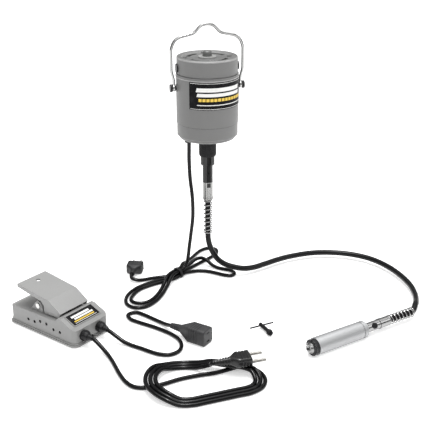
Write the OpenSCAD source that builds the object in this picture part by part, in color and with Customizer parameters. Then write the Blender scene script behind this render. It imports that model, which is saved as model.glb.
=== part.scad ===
// Hanging flex-shaft rotary tool: motor on a wire bail, flexible shaft, geared-chuck handpiece,
// chuck key, foot speed control, and the motor, socket and mains leads.
// The origin is the inside of the bail's crown, where it hangs from a hook. Z is up and the bail's
// pivot axis runs along X. The other pieces lie on a bench below.

/* [Motor] */
// Outer diameter of the main shell
motor_d = 98; // [90:1:106]
// Height of the main shell between its two seams
shell_h = 78; // [70:1:90]
// Height of the top cap
cap_h = 26; // [22:1:32]
// Height of the lower cover
base_h = 26; // [22:1:32]
// Wall thickness of the shell and covers
motor_wall = 2.2; // [1.5:0.1:3]
// Diameter of the bearing boss on the cap
boss_d = 14.5; // [13:0.5:20]
// Number of vent slots in the cap
vent_count = 4; // [3:1:6]
// Diameter of the motor shaft
shaft_d = 8; // [6:0.5:10]
// Diameter of a brush cap
brush_cap_d = 14; // [11:0.5:16]

/* [Bail] */
// Diameter of the bail wire
wire_d = 4.5; // [3.5:0.1:5]
// Gap between the motor's side and the middle of each arm
bail_gap = 8; // [7:0.5:13]
// Height of the crown above the cap's rim
crown_gap = 46; // [36:1:60]
// Distance of the pivots below the cap's rim
pivot_drop = 48; // [42:1:56]
// Diameter of a pivot knob
knob_d = 12; // [9:0.5:15]

/* [Drive outlet] */
// Diameter of the knurled collar
collar_d = 28; // [25:0.5:30]
// Length of the knurled collar
collar_h = 31; // [24:1:36]
// Diameter of the lock sleeve
sleeve_d = 22.5; // [20:0.5:24]
// Length of the lock sleeve
sleeve_h = 15; // [12:1:20]
// Diameter of the coupling tube
tube_d = 16.5; // [15:0.5:18]
// Length of the coupling tube
tube_h = 30; // [25:1:36]

/* [Flexible shaft] */
// Outer diameter of the sheath
sheath_d = 9.4; // [8:0.1:10]
// Bore of the sheath
sheath_bore = 5; // [4.5:0.1:6]
// Diameter of the inner core
core_d = 3.2; // [2.5:0.1:3.8]
// Diameter of the two ferrules
ferrule_d = 17; // [16:0.5:18]
// Length of the motor-side ferrule
ferrule_h = 30; // [24:1:36]
// Length of the spring under the motor
spring_l = 60; // [50:1:64]
// Length of the spring at the handpiece
hand_spring_l = 50; // [44:1:60]
// Outer diameter of each spring
spring_d = 15.4; // [14.6:0.1:16]
// Diameter of the spring wire
spring_wire = 1.8; // [1.4:0.1:2]
// Number of curls in the longer spring
spring_turns = 8; // [6:1:10]

/* [Handpiece] */
// Diameter of the body
hand_d = 26; // [24:0.5:28]
// Length of the body
hand_l = 83; // [70:1:95]
// Length of the rear ring
rear_ring_l = 9; // [7:0.5:12]
// Length of the neck behind the ring
neck_l = 23; // [20:1:28]
// Diameter of the neck
neck_d = 14.5; // [13:0.5:17]
// Length of the ferrule behind the neck
hand_ferrule_l = 19; // [15:1:24]
// Diameter of the release button
button_d = 9; // [7:0.5:10]
// Length of the chuck in front of the body
chuck_l = 12; // [12:1:15]
// Number of teeth on the chuck sleeve
chuck_teeth = 24; // [18:1:30]
// Diameter of the shank held in the jaws
shank_d = 2.35; // [2:0.05:3]

/* [Chuck key] */
// Distance from the tommy bar to the gear
key_l = 25; // [20:1:30]
// Diameter of the key gear
key_gear_d = 10; // [8:0.5:12]
// Length of the tommy bar
key_bar_l = 40; // [30:1:50]

/* [Foot pedal] */
// Length of the housing
pedal_l = 138; // [134:1:150]
// Width of the housing
pedal_w = 70; // [66:1:80]
// Wall thickness of the housing
pedal_wall = 2.5; // [2:0.1:3.5]
// Width of the treadle
treadle_w = 56; // [50:1:60]
// Thickness of the treadle plate
treadle_t = 2.5; // [2:0.1:3]
// Diameter of the hinge pin
pin_d = 5; // [4:0.5:6]
// Diameter of a vent hole in the side
vent_hole_d = 5; // [3:0.5:6]
// Diameter of a cord gland
gland_d = 15; // [12:0.5:17]

/* [Cords] */
// Diameter of the three leads
cord_d = 6.2; // [5.6:0.1:6.3]
// Number of turns in the mains coil
coil_turns = 3; // [3:1:3]
// Distance between neighbouring turns of the coil
coil_pitch = 6.8; // [6.7:0.1:7.2]
// Height of the crown above the bench
bench_drop = 420; // [420:1:420]

/* [Fits] */
// Running clearance on the radius of pins and shafts
run_gap = 0.08; // [0.04:0.01:0.1]
// Gap between parts that slide or turn past one another
free_gap = 0.35; // [0.3:0.05:0.5]

/* [Hidden] */
$fn = 64;
eps = 0.01;

// Colours
paint_grey = [0.53, 0.53, 0.52];
pedal_grey = [0.66, 0.66, 0.65];
black = [0.09, 0.09, 0.09];
steel = [0.78, 0.79, 0.80];
copper = [0.72, 0.42, 0.22];
brass = [0.80, 0.66, 0.32];

// Motor levels, all measured down from the hook
bail_w = motor_d + 2 * bail_gap;
cap_top = -crown_gap;
seam_top = cap_top - cap_h;
seam_low = seam_top - shell_h;
motor_bottom = seam_low - base_h;
pivot_z = cap_top - pivot_drop;
cap_d = motor_d - 2.5;
base_d = motor_d - 1.5;
shell_in = motor_d / 2 - motor_wall;
stator_r = shell_in - 0.2;
stator_z = seam_low + 10;
stator_h = shell_h - 30;
rotor_r = 25;
air_gap = 0.8;
coil_y = rotor_r + 6.5;
fan_r = shell_in - 10.8;
com_r = 13;
bearing_r = 11;
bearing_h = 7;
top_bearing_z = cap_top - 4.5;
com_h = 13;
com_z = top_bearing_z - bearing_h - 1 - com_h;
brush_z = com_z + com_h - 4.5;
low_bearing_z = motor_bottom + 3;
collar_z = motor_bottom - collar_h;
sleeve_z = collar_z - sleeve_h;
tube_z = sleeve_z - tube_h;
ferrule_z = tube_z - ferrule_h;
spring_z = ferrule_z - spring_l;
socket_top = motor_bottom - 4;
cord_exit = [-33, -12];

// Handpiece placement: x runs forward along the tool from the middle of the neck
hand_pos = [178, -260.5];
hand_turn = 199;
hand_z = -bench_drop + hand_d / 2;
ring_start = 5;
ring_end = ring_start + rear_ring_l;
body_end = ring_end + hand_l;
nose_end = body_end + chuck_l;
neck_start = -neck_l;
ferrule_start = neck_start - hand_ferrule_l;
spring_start = ferrule_start - hand_spring_l;
jaw_tilt = 15;
nose_r = 8.2;

// Pedal placement: x runs from the heel to the cord end, y across, z up from the bench
pedal_pos = [-330, -88];
pedal_turn = -51;
plate_z = 1.5;
plate_t = 2.5;
house_z = plate_z + plate_t;
house_top = 31;
pin_x = pedal_l - 81;
control_x = pedal_l - 40;
wiper_x = control_x + 12;
pin_z = 42;
gland_len = 11;
gland_z = 16;
gland_y = [17, 49];

// Key placement
key_pos = [34.5, -201.5];
key_turn = -77;

// Plug and socket placement: position of the cord's entry, heading, height above the bench
mains_plug_pos = [-62, -313, 21];
mains_plug_turn = 1;
socket_pos = [-93, -190, 13];
socket_turn = -46;
motor_plug_pos = [-127, 18, 9];
motor_plug_turn = 70;
tie_pos = [-52, 4];
tie_turn = 38;

// Hand-laid routes. Each point is x, y and the height above a cord that lies on the bench.
drop_route = [
    [-33, -12, 0], [-33, -12, -12], [-33.2, -12, -32], [-32, -11.5, -62], [-28, -9, -98],
    [-26, -2, -134], [-27.5, 7, -168], [-29.5, 13.5, -196], [-31, 16, -214], [-33.5, 14.2, -224.3],
    [-38.5, 10.3, -230.9], [-45.2, 5, -233.3]
];
hank_route = [
    [-57.8, -4.9, 7.6], [-66, -15.5, 7.4], [-72.5, -26, 4], [-78.5, -37, 0.5], [-90, -60, 0],
    [-105, -82, 0], [-124, -97, 0], [-143, -95, 0], [-152, -78, 0], [-147, -54, 0],
    [-130, -31.5, 0], [-104, -16, 0], [-78, -8, 0], [-62.5, -4.2, 1], [-44.1, 10.2, 1.3],
    [-24, 26, 0], [-4, 42, 0], [15, 56, 0], [31, 71, 0], [36, 89, 0], [24, 99, 0], [8, 92, 0],
    [-6, 76, 0], [-18, 60, 0], [-29, 44, 3], [-38, 29, 7.8], [-46.2, 12.9, 7.8],
    [-62, 0.5, 7.8], [-73, -13, 7.6], [-79, -24, 5], [-84.6, -34, 1], [-96.2, -56.3, 0],
    [-110.3, -76, 0], [-125, -84, 0], [-139, -79, 0], [-142, -64, 0], [-125, -37, 0],
    [-100.6, -23, 0], [-76, -15.2, 0], [-58.3, -9.6, 1], [-39.9, 4.8, 1.3], [-28, 9, 0.5],
    [-14, 10, 0], [0, 4.5, 0], [13, -6, 0], [25, -17, 0], [36, -21, 0], [43, -13, 0],
    [39, -1, 0], [29, 7, 0], [20, 15, 0], [13, 25, 1.5], [7, 35, 5.5], [-1, 45, 7.4],
    [-12, 47, 4.5], [-24, 39, 0.5], [-36, 27.5, 0], [-48.3, 15.6, 1.3], [-64.1, 3.2, 1.3],
    [-73, 1, 0.5], [-86, 1.5, 0], [-99, 0.5, 0], [-111, -2, 0.3], [-122, -3, 1.5],
    [-130, 1.5, 3.5], [-130.5, 9.5, 5.2], [-127, 18, 5.9]
];
sheath_bend = [
    [0.5, 0, -12], [3, 0.5, -24], [8, 0, -37], [16, -3, -50], [27, -8.5, -58], [41, -14, -62.5],
    [58, -17, -66], [78, -12, -68.3], [101, -3, -68.3], [127, 8, -68.3], [152, 15.5, -68.3],
    [190, 20, -68.3], [224, 14.5, -68.3], [257, -1, -68.3], [284, -27, -68.3],
    [300, -62, -68.3], [307, -100, -68.3], [307, -138, -68.3], [300, -170, -67.5],
    [289.5, -196, -65], [277.5, -216.5, -62]
];
socket_route = [
    [-192, -181, 12], [-184, -190, 8], [-174, -200, 2.5], [-163, -210, 0], [-151, -222, 0],
    [-140, -234, 0], [-128, -244, 0], [-114, -248, 0], [-101, -242, 0], [-94, -228, 0],
    [-94, -210, 0], [-101, -193, 0], [-113, -176, 0], [-127, -160, 0], [-141, -146, 0],
    [-153, -132, 0], [-155, -117, 0], [-142, -112, 0], [-131, -123, 0], [-121, -137, 0],
    [-111, -152, 0.4], [-104, -167, 3.2], [-99, -180, 7.8]
];
mains_route = [
    [-216, -201, 12], [-209, -211, 7], [-202, -224, 2], [-197, -242, 0], [-194, -262, 0],
    [-191, -282, 0], [-186, -302, 0], [-177, -317, 0], [-160, -323, 0], [-138, -320, 0],
    [-114, -313.5, 0], [-88, -310.5, 0], [-66, -310, 0], [-48, -306.5, 0], [-34, -303, 0]
];

// Mains coil: two arcs joined by straight runs, walked inward from the outer turn
coil_pos = [-82, -328];
coil_turn = -10;
coil_left = -28;
coil_right = 48;
left_r = 34;
right_r = 11;
coil_start = 22.4;
coil_end = coil_turns - 0.19;
coil_rings = 24;
hump_h = 7.6;

// ---------- Functions ----------

function unit(v) = v / norm(v);
function smooth(t) = let (c = min(1, max(0, t))) c * c * (3 - 2 * c);

// One point of a smooth curve through b and c, with a and d as neighbours
function blend(a, b, c, d, t) =
    0.5 * (2 * b + (c - a) * t + (2 * a - 5 * b + 4 * c - d) * t * t
    + (3 * b - a - 3 * c + d) * t * t * t);

// A smooth curve through the points p, with m steps between neighbours
function curve(p, m) =
    let (n = len(p))
    concat([
        for (i = [0 : n - 2], k = [0 : m - 1])
            blend(i == 0 ? 2 * p[0] - p[1] : p[i - 1], p[i], p[i + 1],
                  i == n - 2 ? 2 * p[n - 1] - p[n - 2] : p[i + 2], k / m)
    ], [p[n - 1]]);

// Direction of the curve at each of its points
function headings(p) =
    let (n = len(p))
    [for (i = [0 : n - 1]) unit(p[min(i + 1, n - 1)] - p[max(i - 1, 0)])];

// Side direction of each ring, carried along the curve without twist
function sides(h, s, i = 0, found = []) =
    i == len(h) ? found
    : let (v = unit(s - (s * h[i]) * h[i])) sides(h, v, i + 1, concat(found, [v]));

// One ring of n points about p, with flat faces up and down
function ring(p, h, s, r, n) =
    let (u = cross(h, s))
    [for (j = [0 : n - 1]) p + r * (cos((j + 0.5) * 360 / n) * s + sin((j + 0.5) * 360 / n) * u)];

// Two triangles between rings a and b of n points
function wall_faces(a, b, n) = [
    for (j = [0 : n - 1]) let (k = (j + 1) % n)
        each [[a + j, b + j, b + k], [a + j, b + k, a + k]]
];

// Points of a lying cord: route height 0 rests on the bench
function laid(route, r) = [for (p = route) [p.x, p.y, p.z - bench_drop + r]];

// Smallest distance between the surfaces of stretches of a curve at least skip points apart
function self_gap(p, d, skip) =
    min([for (i = [0 : len(p) - 1 - skip], j = [i + skip : len(p) - 1]) norm(p[i] - p[j])]) - d;

// A point from the pedal's, key's or handpiece's own frame
function placed(p, pos, turn) =
    [pos.x + p.x * cos(turn) - p.y * sin(turn), pos.y + p.x * sin(turn) + p.y * cos(turn)];

// Coil outline: offset off from the inner outline, share u of one turn, clockwise from the right
coil_lean = asin((left_r - right_r) / (coil_right - coil_left));
coil_up = 90 - coil_lean;
function coil_at(u, off) =
    let (f = u - floor(u),
         a = f < 0.17 ? coil_up - 2 * coil_up * f / 0.17
           : f < 0.36 ? -coil_up
           : f < 0.81 ? -coil_up - (360 - 2 * coil_up) * (f - 0.36) / 0.45
           : coil_up,
         m = f < 0.17 ? 0 : f < 0.36 ? (f - 0.17) / 0.19 : f < 0.81 ? 1 : (1 - f) / 0.19,
         c = coil_right + (coil_left - coil_right) * m,
         r = right_r + (left_r - right_r) * m + off)
    [c + r * cos(a), r * sin(a)];
// Humps where the coil passes over the lead that comes in and over the lead that goes out of it
function hump(x, w) = smooth((w - abs(x)) / (0.55 * w));
function coil_rise(u) =
    hump_h * max(hump(u - floor(u) - 0.57, 0.17),
                 u > 0.5 ? hump(u - round(u) + 0.05, 0.15) : 0);
function coil_point(u) =
    let (q = placed(coil_at(u, coil_start - coil_pitch * u), coil_pos, coil_turn))
    [q.x, q.y, coil_rise(u) - bench_drop + cord_d / 2];

// ---------- Shared shapes ----------

// A solid tube along the points p, starting with the side direction s
module tube(p, d, n, s) {
    h = headings(p);
    v = sides(h, s);
    m = len(p);
    polyhedron(
        points = [for (i = [0 : m - 1]) each ring(p[i], h[i], v[i], d / 2, n)],
        faces = concat(
            [for (i = [0 : m - 2]) each wall_faces(i * n, (i + 1) * n, n)],
            [for (j = [1 : n - 2]) [0, j, j + 1]],
            [for (j = [1 : n - 2]) [(m - 1) * n, (m - 1) * n + j + 1, (m - 1) * n + j]]
        )
    );
}

// A hollow tube along the points p
module hose(p, d, bore, n, s) {
    h = headings(p);
    v = sides(h, s);
    m = len(p);
    inner = m * n;
    polyhedron(
        points = concat(
            [for (i = [0 : m - 1]) each ring(p[i], h[i], v[i], d / 2, n)],
            [for (i = [0 : m - 1]) each ring(p[i], h[i], v[i], bore / 2, n)]
        ),
        faces = concat(
            [for (i = [0 : m - 2]) each wall_faces(i * n, (i + 1) * n, n)],
            [for (i = [0 : m - 2]) each wall_faces(inner + (i + 1) * n, inner + i * n, n)],
            wall_faces(inner, 0, n),
            wall_faces((m - 1) * n, inner + (m - 1) * n, n)
        )
    );
}

// A cylinder from z = low to z = high
module post(r, low, high) {
    translate([0, 0, low]) cylinder(r = r, h = high - low);
}

// A ring or tube from z = low to z = high
module sleeve(r, bore, low, high) {
    difference() {
        post(r, low, high);
        post(bore, low - 1, high + 1);
    }
}

// A cylinder along X
module bar(r, low, high) {
    translate([low, 0, 0]) rotate([0, 90, 0]) cylinder(r = r, h = high - low);
}

// A coiled spring along Z from low to high with closed, squared ends
module coil_spring(d, wire, low, high, turns) {
    r = (d - wire) / 2;
    n = turns * 8;
    body = high - low - wire;
    points = [for (i = [0 : n])
        [r * cos(i * 45), r * sin(i * 45), low + wire / 2 + body * i / n]];
    tube(points, wire, 6, [1, 0, 0]);
}

// Places a shape in the handpiece's frame
module at_hand() {
    translate([hand_pos.x, hand_pos.y, hand_z]) rotate([0, 0, hand_turn]) children();
}

// Places a shape in the pedal's frame
module at_pedal() {
    translate([pedal_pos.x, pedal_pos.y, -bench_drop]) rotate([0, 0, pedal_turn]) children();
}

// Places a shape whose x axis leads out of a plug or socket
module at_plug(pos, turn) {
    translate([pos.x, pos.y, pos.z - bench_drop]) rotate([0, 0, turn]) children();
}

// ---------- Motor ----------

module motor_housing() {
    color(paint_grey) difference() {
        union() {
            post(motor_d / 2, seam_low, seam_top);
            // Lip above the label
            post(motor_d / 2 + 0.6, seam_top - 5, seam_top - 3.6);
            for (s = [-1, 1]) translate([0, 0, pivot_z]) rotate([0, s * 90, 0])
                cylinder(d = 13, h = motor_d / 2 + 0.8);
        }
        post(shell_in, seam_low - 1, seam_top + 1);
        for (s = [-1, 1]) translate([0, 0, pivot_z]) rotate([0, s * 90, 0])
            cylinder(d = 5, h = motor_d);
    }
}

module top_cap() {
    r = cap_d / 2;
    color(paint_grey) difference() {
        union() {
            rotate_extrude() polygon(concat(
                [[0, seam_top], [r, seam_top], [r, cap_top - 2]],
                [for (a = [15 : 15 : 90]) [r - 2 + 2 * cos(a), cap_top - 2 + 2 * sin(a)]],
                [[r - 7, cap_top], [r - 8.5, cap_top - 2.5], [0, cap_top - 2.5]]
            ));
            post(boss_d / 2 + 7, cap_top - 3, cap_top - 0.6);
            rotate_extrude() polygon(concat(
                [[0, cap_top - 3], [boss_d / 2, cap_top - 3], [boss_d / 2, cap_top + 4.5]],
                [for (a = [30 : 30 : 90])
                    [boss_d / 2 - 4 + 4 * cos(a), cap_top + 4.5 + 4 * sin(a)]],
                [[0, cap_top + 8.5]]
            ));
        }
        // Hollow inside, leaving a seat for the bearing and a rim that plugs the shell
        difference() {
            post(r - motor_wall, seam_top - 1, cap_top - 5);
            post(bearing_r + 2.5, top_bearing_z - bearing_h, cap_top);
        }
        post(bearing_r, seam_top - 1, top_bearing_z);
        post(shaft_d / 2 + 1, seam_top - 1, cap_top + 1.5);
        // Curved vent slots
        for (i = [0 : vent_count - 1]) rotate([0, 0, 20 + i * 360 / vent_count])
            translate([0, 0, cap_top - 7]) rotate_extrude(angle = 46)
                translate([r - 20, 0]) square([6, 6]);
        // Brush openings
        for (s = [-1, 1]) translate([0, 0, brush_z]) rotate([0, s * 90, 0]) {
            cylinder(d = 9, h = cap_d);
            post(brush_cap_d / 2 + 0.2, cap_d / 2 - 0.5, cap_d);
        }
    }
}

module lower_cover() {
    r = base_d / 2;
    color(paint_grey) difference() {
        rotate_extrude() polygon(concat(
            [[0, motor_bottom], [r - 7, motor_bottom]],
            [for (a = [-75 : 15 : 0]) [r - 7 + 4 * cos(a), motor_bottom + 4 + 4 * sin(a)]],
            [[r - 3, motor_bottom + 5], [r - 1.5, motor_bottom + 5], [r, motor_bottom + 6.5],
             [r, seam_low], [0, seam_low]]
        ));
        difference() {
            post(r - 3 - motor_wall, motor_bottom + 3, seam_low + 1);
            post(bearing_r + 3, motor_bottom, motor_bottom + 12);
        }
        post(bearing_r, low_bearing_z, seam_low + 1);
        post(shaft_d / 2 + 1, motor_bottom - 1, seam_low);
        // Cooling slots in the underside
        for (i = [0 : 5]) rotate([0, 0, 55 + i * 48]) translate([0, 0, motor_bottom - 1])
            rotate_extrude(angle = 26) translate([27, 0]) square([7, 6]);
        translate([cord_exit.x, cord_exit.y, motor_bottom - 1]) cylinder(d = 10, h = 6);
        // Threaded seat for the collar
        post(10, motor_bottom - 1, motor_bottom + 1);
    }
}

module stator_core() {
    color([0.45, 0.46, 0.48]) difference() {
        post(stator_r, stator_z, stator_z + stator_h);
        post(rotor_r + air_gap, stator_z - 1, stator_z + stator_h + 1);
        // Slots for the two field coils, each side of a pole
        for (x = [-21, 12], y = [-coil_y - 4.5, coil_y - 4.5]) translate([x, y, stator_z - 1])
            cube([9, 9, stator_h + 2]);
    }
}

module field_coils() {
    color(copper) for (s = [-1, 1])
        translate([0, s * coil_y, stator_z + stator_h / 2]) difference() {
            translate([-20.6, -4, -stator_h / 2 - 7]) cube([41.2, 8, stator_h + 14]);
            translate([-12.4, -5, -stator_h / 2 - 0.4]) cube([24.8, 10, stator_h + 0.8]);
        }
}

module armature() {
    color([0.55, 0.50, 0.44]) union() {
        difference() {
            post(rotor_r, stator_z, stator_z + stator_h);
            for (i = [0 : 11]) rotate([0, 0, i * 30])
                translate([rotor_r - 6, -1.2, stator_z - 1]) cube([8, 2.4, stator_h + 2]);
            post(shaft_d / 2, stator_z - 1, stator_z + stator_h + 1);
        }
        sleeve(rotor_r - 5, shaft_d / 2, stator_z - 7, stator_z + 1);
        sleeve(rotor_r - 5, shaft_d / 2, stator_z + stator_h - 1, stator_z + stator_h + 7);
    }
}

module commutator() {
    color(copper) difference() {
        post(com_r, com_z, com_z + com_h);
        post(shaft_d / 2, com_z - 1, com_z + com_h + 1);
        for (i = [0 : 11]) rotate([0, 0, i * 30 + 15])
            translate([com_r - 1.2, -0.3, com_z + 2]) cube([3, 0.6, com_h]);
    }
}

module motor_shaft() {
    color(steel) post(shaft_d / 2, socket_top - 12, top_bearing_z + 4);
}

module cooling_fan() {
    fan_z = seam_low - 9;
    color([0.25, 0.25, 0.26]) union() {
        sleeve(fan_r, shaft_d / 2, fan_z - 2, fan_z);
        sleeve(9, shaft_d / 2, fan_z - 1, fan_z + 8);
        for (i = [0 : 8]) rotate([0, 0, i * 40]) translate([8, -0.8, fan_z - 0.5])
            cube([fan_r - 9, 1.6, 7]);
    }
}

module motor_bearings() {
    color(steel) {
        sleeve(bearing_r, shaft_d / 2 + run_gap, top_bearing_z - bearing_h, top_bearing_z);
        sleeve(bearing_r, shaft_d / 2 + run_gap, low_bearing_z, low_bearing_z + bearing_h);
    }
}

module brush_holders() {
    color(brass) for (s = [-1, 1]) translate([0, 0, brush_z]) rotate([0, s * 90, 0]) difference() {
        translate([0, 0, com_r + 1.5]) cylinder(d = 9, h = cap_d / 2 - com_r - 2);
        translate([-2.5, -2.5, 0]) cube([5, 5, cap_d / 2 + 1]);
    }
}

module carbon_brushes() {
    color([0.2, 0.2, 0.2]) for (s = [-1, 1]) translate([0, 0, brush_z]) rotate([0, s * 90, 0])
        translate([-2.5, -2.5, com_r + 0.3]) cube([5, 5, 16]);
}

module brush_caps() {
    color(black) for (s = [-1, 1]) translate([0, 0, brush_z]) rotate([0, s * 90, 0])
        difference() {
            translate([0, 0, cap_d / 2 - 0.5]) cylinder(d = brush_cap_d, h = 2.5);
            translate([-brush_cap_d, -0.8, cap_d / 2 + 1]) cube([2 * brush_cap_d, 1.6, 2]);
        }
}

// Bail outline on one side, from the crown down to the pivot: x and z
eye_x = bail_w / 2 - 3.5;
eye_t = 4;
bail_path = [
    [bail_w * 0.075, wire_d / 2], [bail_w * 0.165, -9], [bail_w * 0.2, -11.5],
    [bail_w * 0.385, -16], [bail_w * 0.46, -22], [bail_w / 2, -34], [bail_w / 2, pivot_z + 26],
    [eye_x, pivot_z + 13], [eye_x, pivot_z + 5]
];

// The points p with each corner rounded by a curve of k steps, for bends of radius r
function rounded(p, r, k) =
    let (n = len(p))
    concat([p[0]], [
        for (i = [1 : n - 2])
            let (a = unit(p[i - 1] - p[i]), b = unit(p[i + 1] - p[i]), cut = r / tan(acos(a * b) / 2))
            for (t = [0 : 1 / k : 1])
                p[i] + (1 - t) * (1 - t) * cut * a + t * t * cut * b
    ], [p[n - 1]]);

module bail() {
    n = len(bail_path);
    path = concat([for (i = [n - 1 : -1 : 0]) [-bail_path[i].x, bail_path[i].y]], bail_path);
    line = [for (q = rounded(path, 8, 4)) [q.x, 0, q.y]];
    color(steel) difference() {
        union() {
            tube(line, wire_d, 12, [0, 1, 0]);
            for (s = [-1, 1]) translate([s * eye_x, 0, pivot_z]) bar(5.5, -eye_t / 2, eye_t / 2);
        }
        translate([0, 0, pivot_z]) bar(2 + run_gap, -bail_w, bail_w);
    }
}

module pivot_knobs() {
    color(black) for (s = [-1, 1]) translate([0, 0, pivot_z]) rotate([0, s * 90, 0]) {
        difference() {
            translate([0, 0, eye_x + wire_d / 2 + free_gap]) cylinder(d = knob_d, h = 3.5);
            for (i = [0 : 11]) rotate([0, 0, i * 30])
                translate([knob_d / 2 + 0.4, 0, 0]) cylinder(d = 2, h = bail_w, $fn = 16);
        }
        post(2, motor_d / 2 - 2.1, eye_x + wire_d / 2 + 3);
        post(4, motor_d / 2 + 0.8, eye_x - eye_t / 2 - free_gap);
    }
}

module case_screws() {
    color(steel) {
        for (a = [88 : 90 : 358]) rotate([0, 0, a]) translate([cap_d / 2 - 13, 0, cap_top - 2.5])
            difference() {
                cylinder(d = 7, h = 2);
                translate([-5, -0.5, 1.2]) cube([10, 1, 2]);
            }
        at_pedal() for (x = [12, pedal_l - 12], y = [10, pedal_w - 10])
            translate([x, y, plate_z - 1]) {
                cylinder(d = 6, h = 1);
                cylinder(d = 3.2, h = 14);
            }
    }
}

// Plain plates: one wrapped round the motor, one on the pedal's slope
module label_plates() {
    h = 42;
    color(black) rotate([0, 0, -137]) translate([0, 0, seam_top - 6 - h])
        rotate_extrude(angle = 118) translate([motor_d / 2 + 0.1, 0]) square([0.5, h]);
    color(black) at_pedal() label_frame() translate([-1.1, -1.6, 0]) cube([20.2, 51.2, 0.6]);
}

module output_collar() {
    color(black) difference() {
        union() {
            post(collar_d / 2 - 0.6, collar_z, motor_bottom);
            for (i = [0 : 35]) rotate([0, 0, i * 10]) translate([collar_d / 2 - 0.7, 0, collar_z + 2])
                cylinder(d = 1.4, h = collar_h - 4, $fn = 16);
        }
        post(10, collar_z - 1, motor_bottom + 1);
    }
}

module lock_sleeve() {
    color(black) difference() {
        sleeve(sleeve_d / 2, tube_d / 2 - 1.5, sleeve_z, collar_z);
        translate([-3.5, -sleeve_d, sleeve_z - 1]) cube([7, sleeve_d - tube_d / 2 + 0.6, sleeve_h]);
    }
}

module coupling_tube() {
    color(black) difference() {
        union() {
            sleeve(tube_d / 2, tube_d / 2 - 1.5, tube_z, sleeve_z);
            sleeve(tube_d / 2 - 1.5, tube_d / 2 - 3, tube_z, collar_z + 2);
        }
        translate([0, -tube_d, (tube_z + sleeve_z) / 2 + 1]) rotate([-90, 0, 0])
            cylinder(d = 2.4, h = tube_d);
    }
}

module drive_socket() {
    color(steel) difference() {
        union() {
            post(4, tube_z + 4, collar_z + 4);
            post(8, collar_z + 4, socket_top);
        }
        post(core_d / 2 + run_gap, tube_z, tube_z + 16);
        post(shaft_d / 2, socket_top - 12, socket_top + 1);
    }
}

module cord_bush() {
    color(black) translate([cord_exit.x, cord_exit.y, 0]) difference() {
        union() {
            post(5, motor_bottom, motor_bottom + 3);
            post(6.5, motor_bottom - 3, motor_bottom);
            post(6.5, motor_bottom + 3, motor_bottom + 5);
        }
        post(cord_d / 2 + 0.15, motor_bottom - 5, motor_bottom + 6);
    }
}

// ---------- Flexible shaft ----------

// Centre line of the shaft from the coupling tube to the spindle
// Share by which the laid bend is stretched to reach the bench
sheath_fall = (bench_drop + spring_z - 9.7) / 68.3;
sheath_line = concat(
    [[0, 0, ferrule_z + 14], [0, 0, ferrule_z]],
    [[0, 0, spring_z + 30], [0, 0, spring_z]],
    [for (p = sheath_bend) [p.x, p.y, max(p.z * sheath_fall + spring_z, sheath_d * 0.462 - bench_drop)]],
    [for (x = [spring_start, spring_start + hand_spring_l / 2, ferrule_start, ferrule_start + 8])
        let (q = placed([x, 0], hand_pos, hand_turn)) [q.x, q.y, hand_z]]
);

module shaft_ferrule() {
    color(steel) difference() {
        union() {
            post(ferrule_d / 2, ferrule_z, tube_z);
            post(ferrule_d / 2 + 0.4, ferrule_z, ferrule_z + 3);
        }
        post(sheath_d / 2, ferrule_z - 1, ferrule_z + 14);
        post(4 + free_gap, ferrule_z + 13, tube_z + 1);
        translate([-3, -ferrule_d, tube_z - 8]) cube([6, ferrule_d / 2 + 1.2, 7]);
    }
}

module upper_spring() {
    echo(spring_gap = spring_l / spring_turns - spring_wire);
    color(steel) coil_spring(spring_d, spring_wire, spring_z, ferrule_z, spring_turns);
}

module sheath() {
    color(black) hose(curve(sheath_line, 2), sheath_d, sheath_bore, 8, [0, 1, 0]);
}

module flex_core() {
    line = concat([[0, 0, tube_z + 12], [0, 0, tube_z - 6]], sheath_line,
        [for (x = [-14, 12]) let (q = placed([x, 0], hand_pos, hand_turn)) [q.x, q.y, hand_z]]);
    color([0.5, 0.5, 0.5]) tube(curve(line, 2), core_d, 6, [0, 1, 0]);
}

module lower_spring() {
    color(steel) at_hand() rotate([0, 90, 0])
        coil_spring(spring_d, spring_wire, spring_start, ferrule_start, spring_turns - 1);
}

module hand_ferrule() {
    color(steel) at_hand() difference() {
        union() {
            bar(ferrule_d / 2 - 1, ferrule_start, neck_start - 3);
            bar(neck_d / 2 + 0.8, neck_start - 3, neck_start);
            bar(5, neck_start - 1, neck_start + 6);
        }
        bar(sheath_d / 2, ferrule_start - 1, ferrule_start + 8);
        bar(core_d / 2 + 0.6, ferrule_start, 0);
    }
}

// ---------- Handpiece ----------

module hand_neck() {
    color(steel) at_hand() difference() {
        union() {
            bar(neck_d / 2, neck_start, ring_start);
            bar(neck_d / 2 + 2, ring_start - 3, ring_start);
        }
        bar(5, neck_start - 1, neck_start + 6);
        bar(core_d / 2 + 1.6, neck_start, ring_start + 1);
        at_button() cylinder(d = button_d + 2 * run_gap, h = neck_d);
    }
}

// The button's own axis, across the neck and a little upwards
module at_button() {
    translate([1 - neck_l / 2, 0, 0]) rotate([-60, 0, 0]) children();
}

module release_button() {
    color(black) at_hand() at_button() post(button_d / 2, core_d / 2 + 3.2, neck_d / 2 + 1.2);
}

module rear_ring() {
    color(steel) at_hand() difference() {
        union() {
            bar(hand_d / 2 - 0.9, ring_start, ring_end);
            bar(hand_d / 2, ring_start + 1.4, ring_end - 1.6);
        }
        bar(6.5, ring_start - 1, ring_end + 1);
    }
}

module hand_body() {
    color(steel) at_hand() difference() {
        bar(hand_d / 2, ring_end, body_end);
        bar(8, ring_end - 1, body_end + 1);
        bar(9, ring_end - 1, ring_end + 8);
        bar(9, body_end - 8, body_end + 1);
    }
}

module spindle() {
    color(steel) at_hand() difference() {
        union() {
            bar(4, ring_start + 1, body_end + 0.4);
            bar(6.5, ring_end + 10, body_end - 10);
        }
        bar(core_d / 2 + run_gap, ring_start, ring_start + 9);
    }
}

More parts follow.
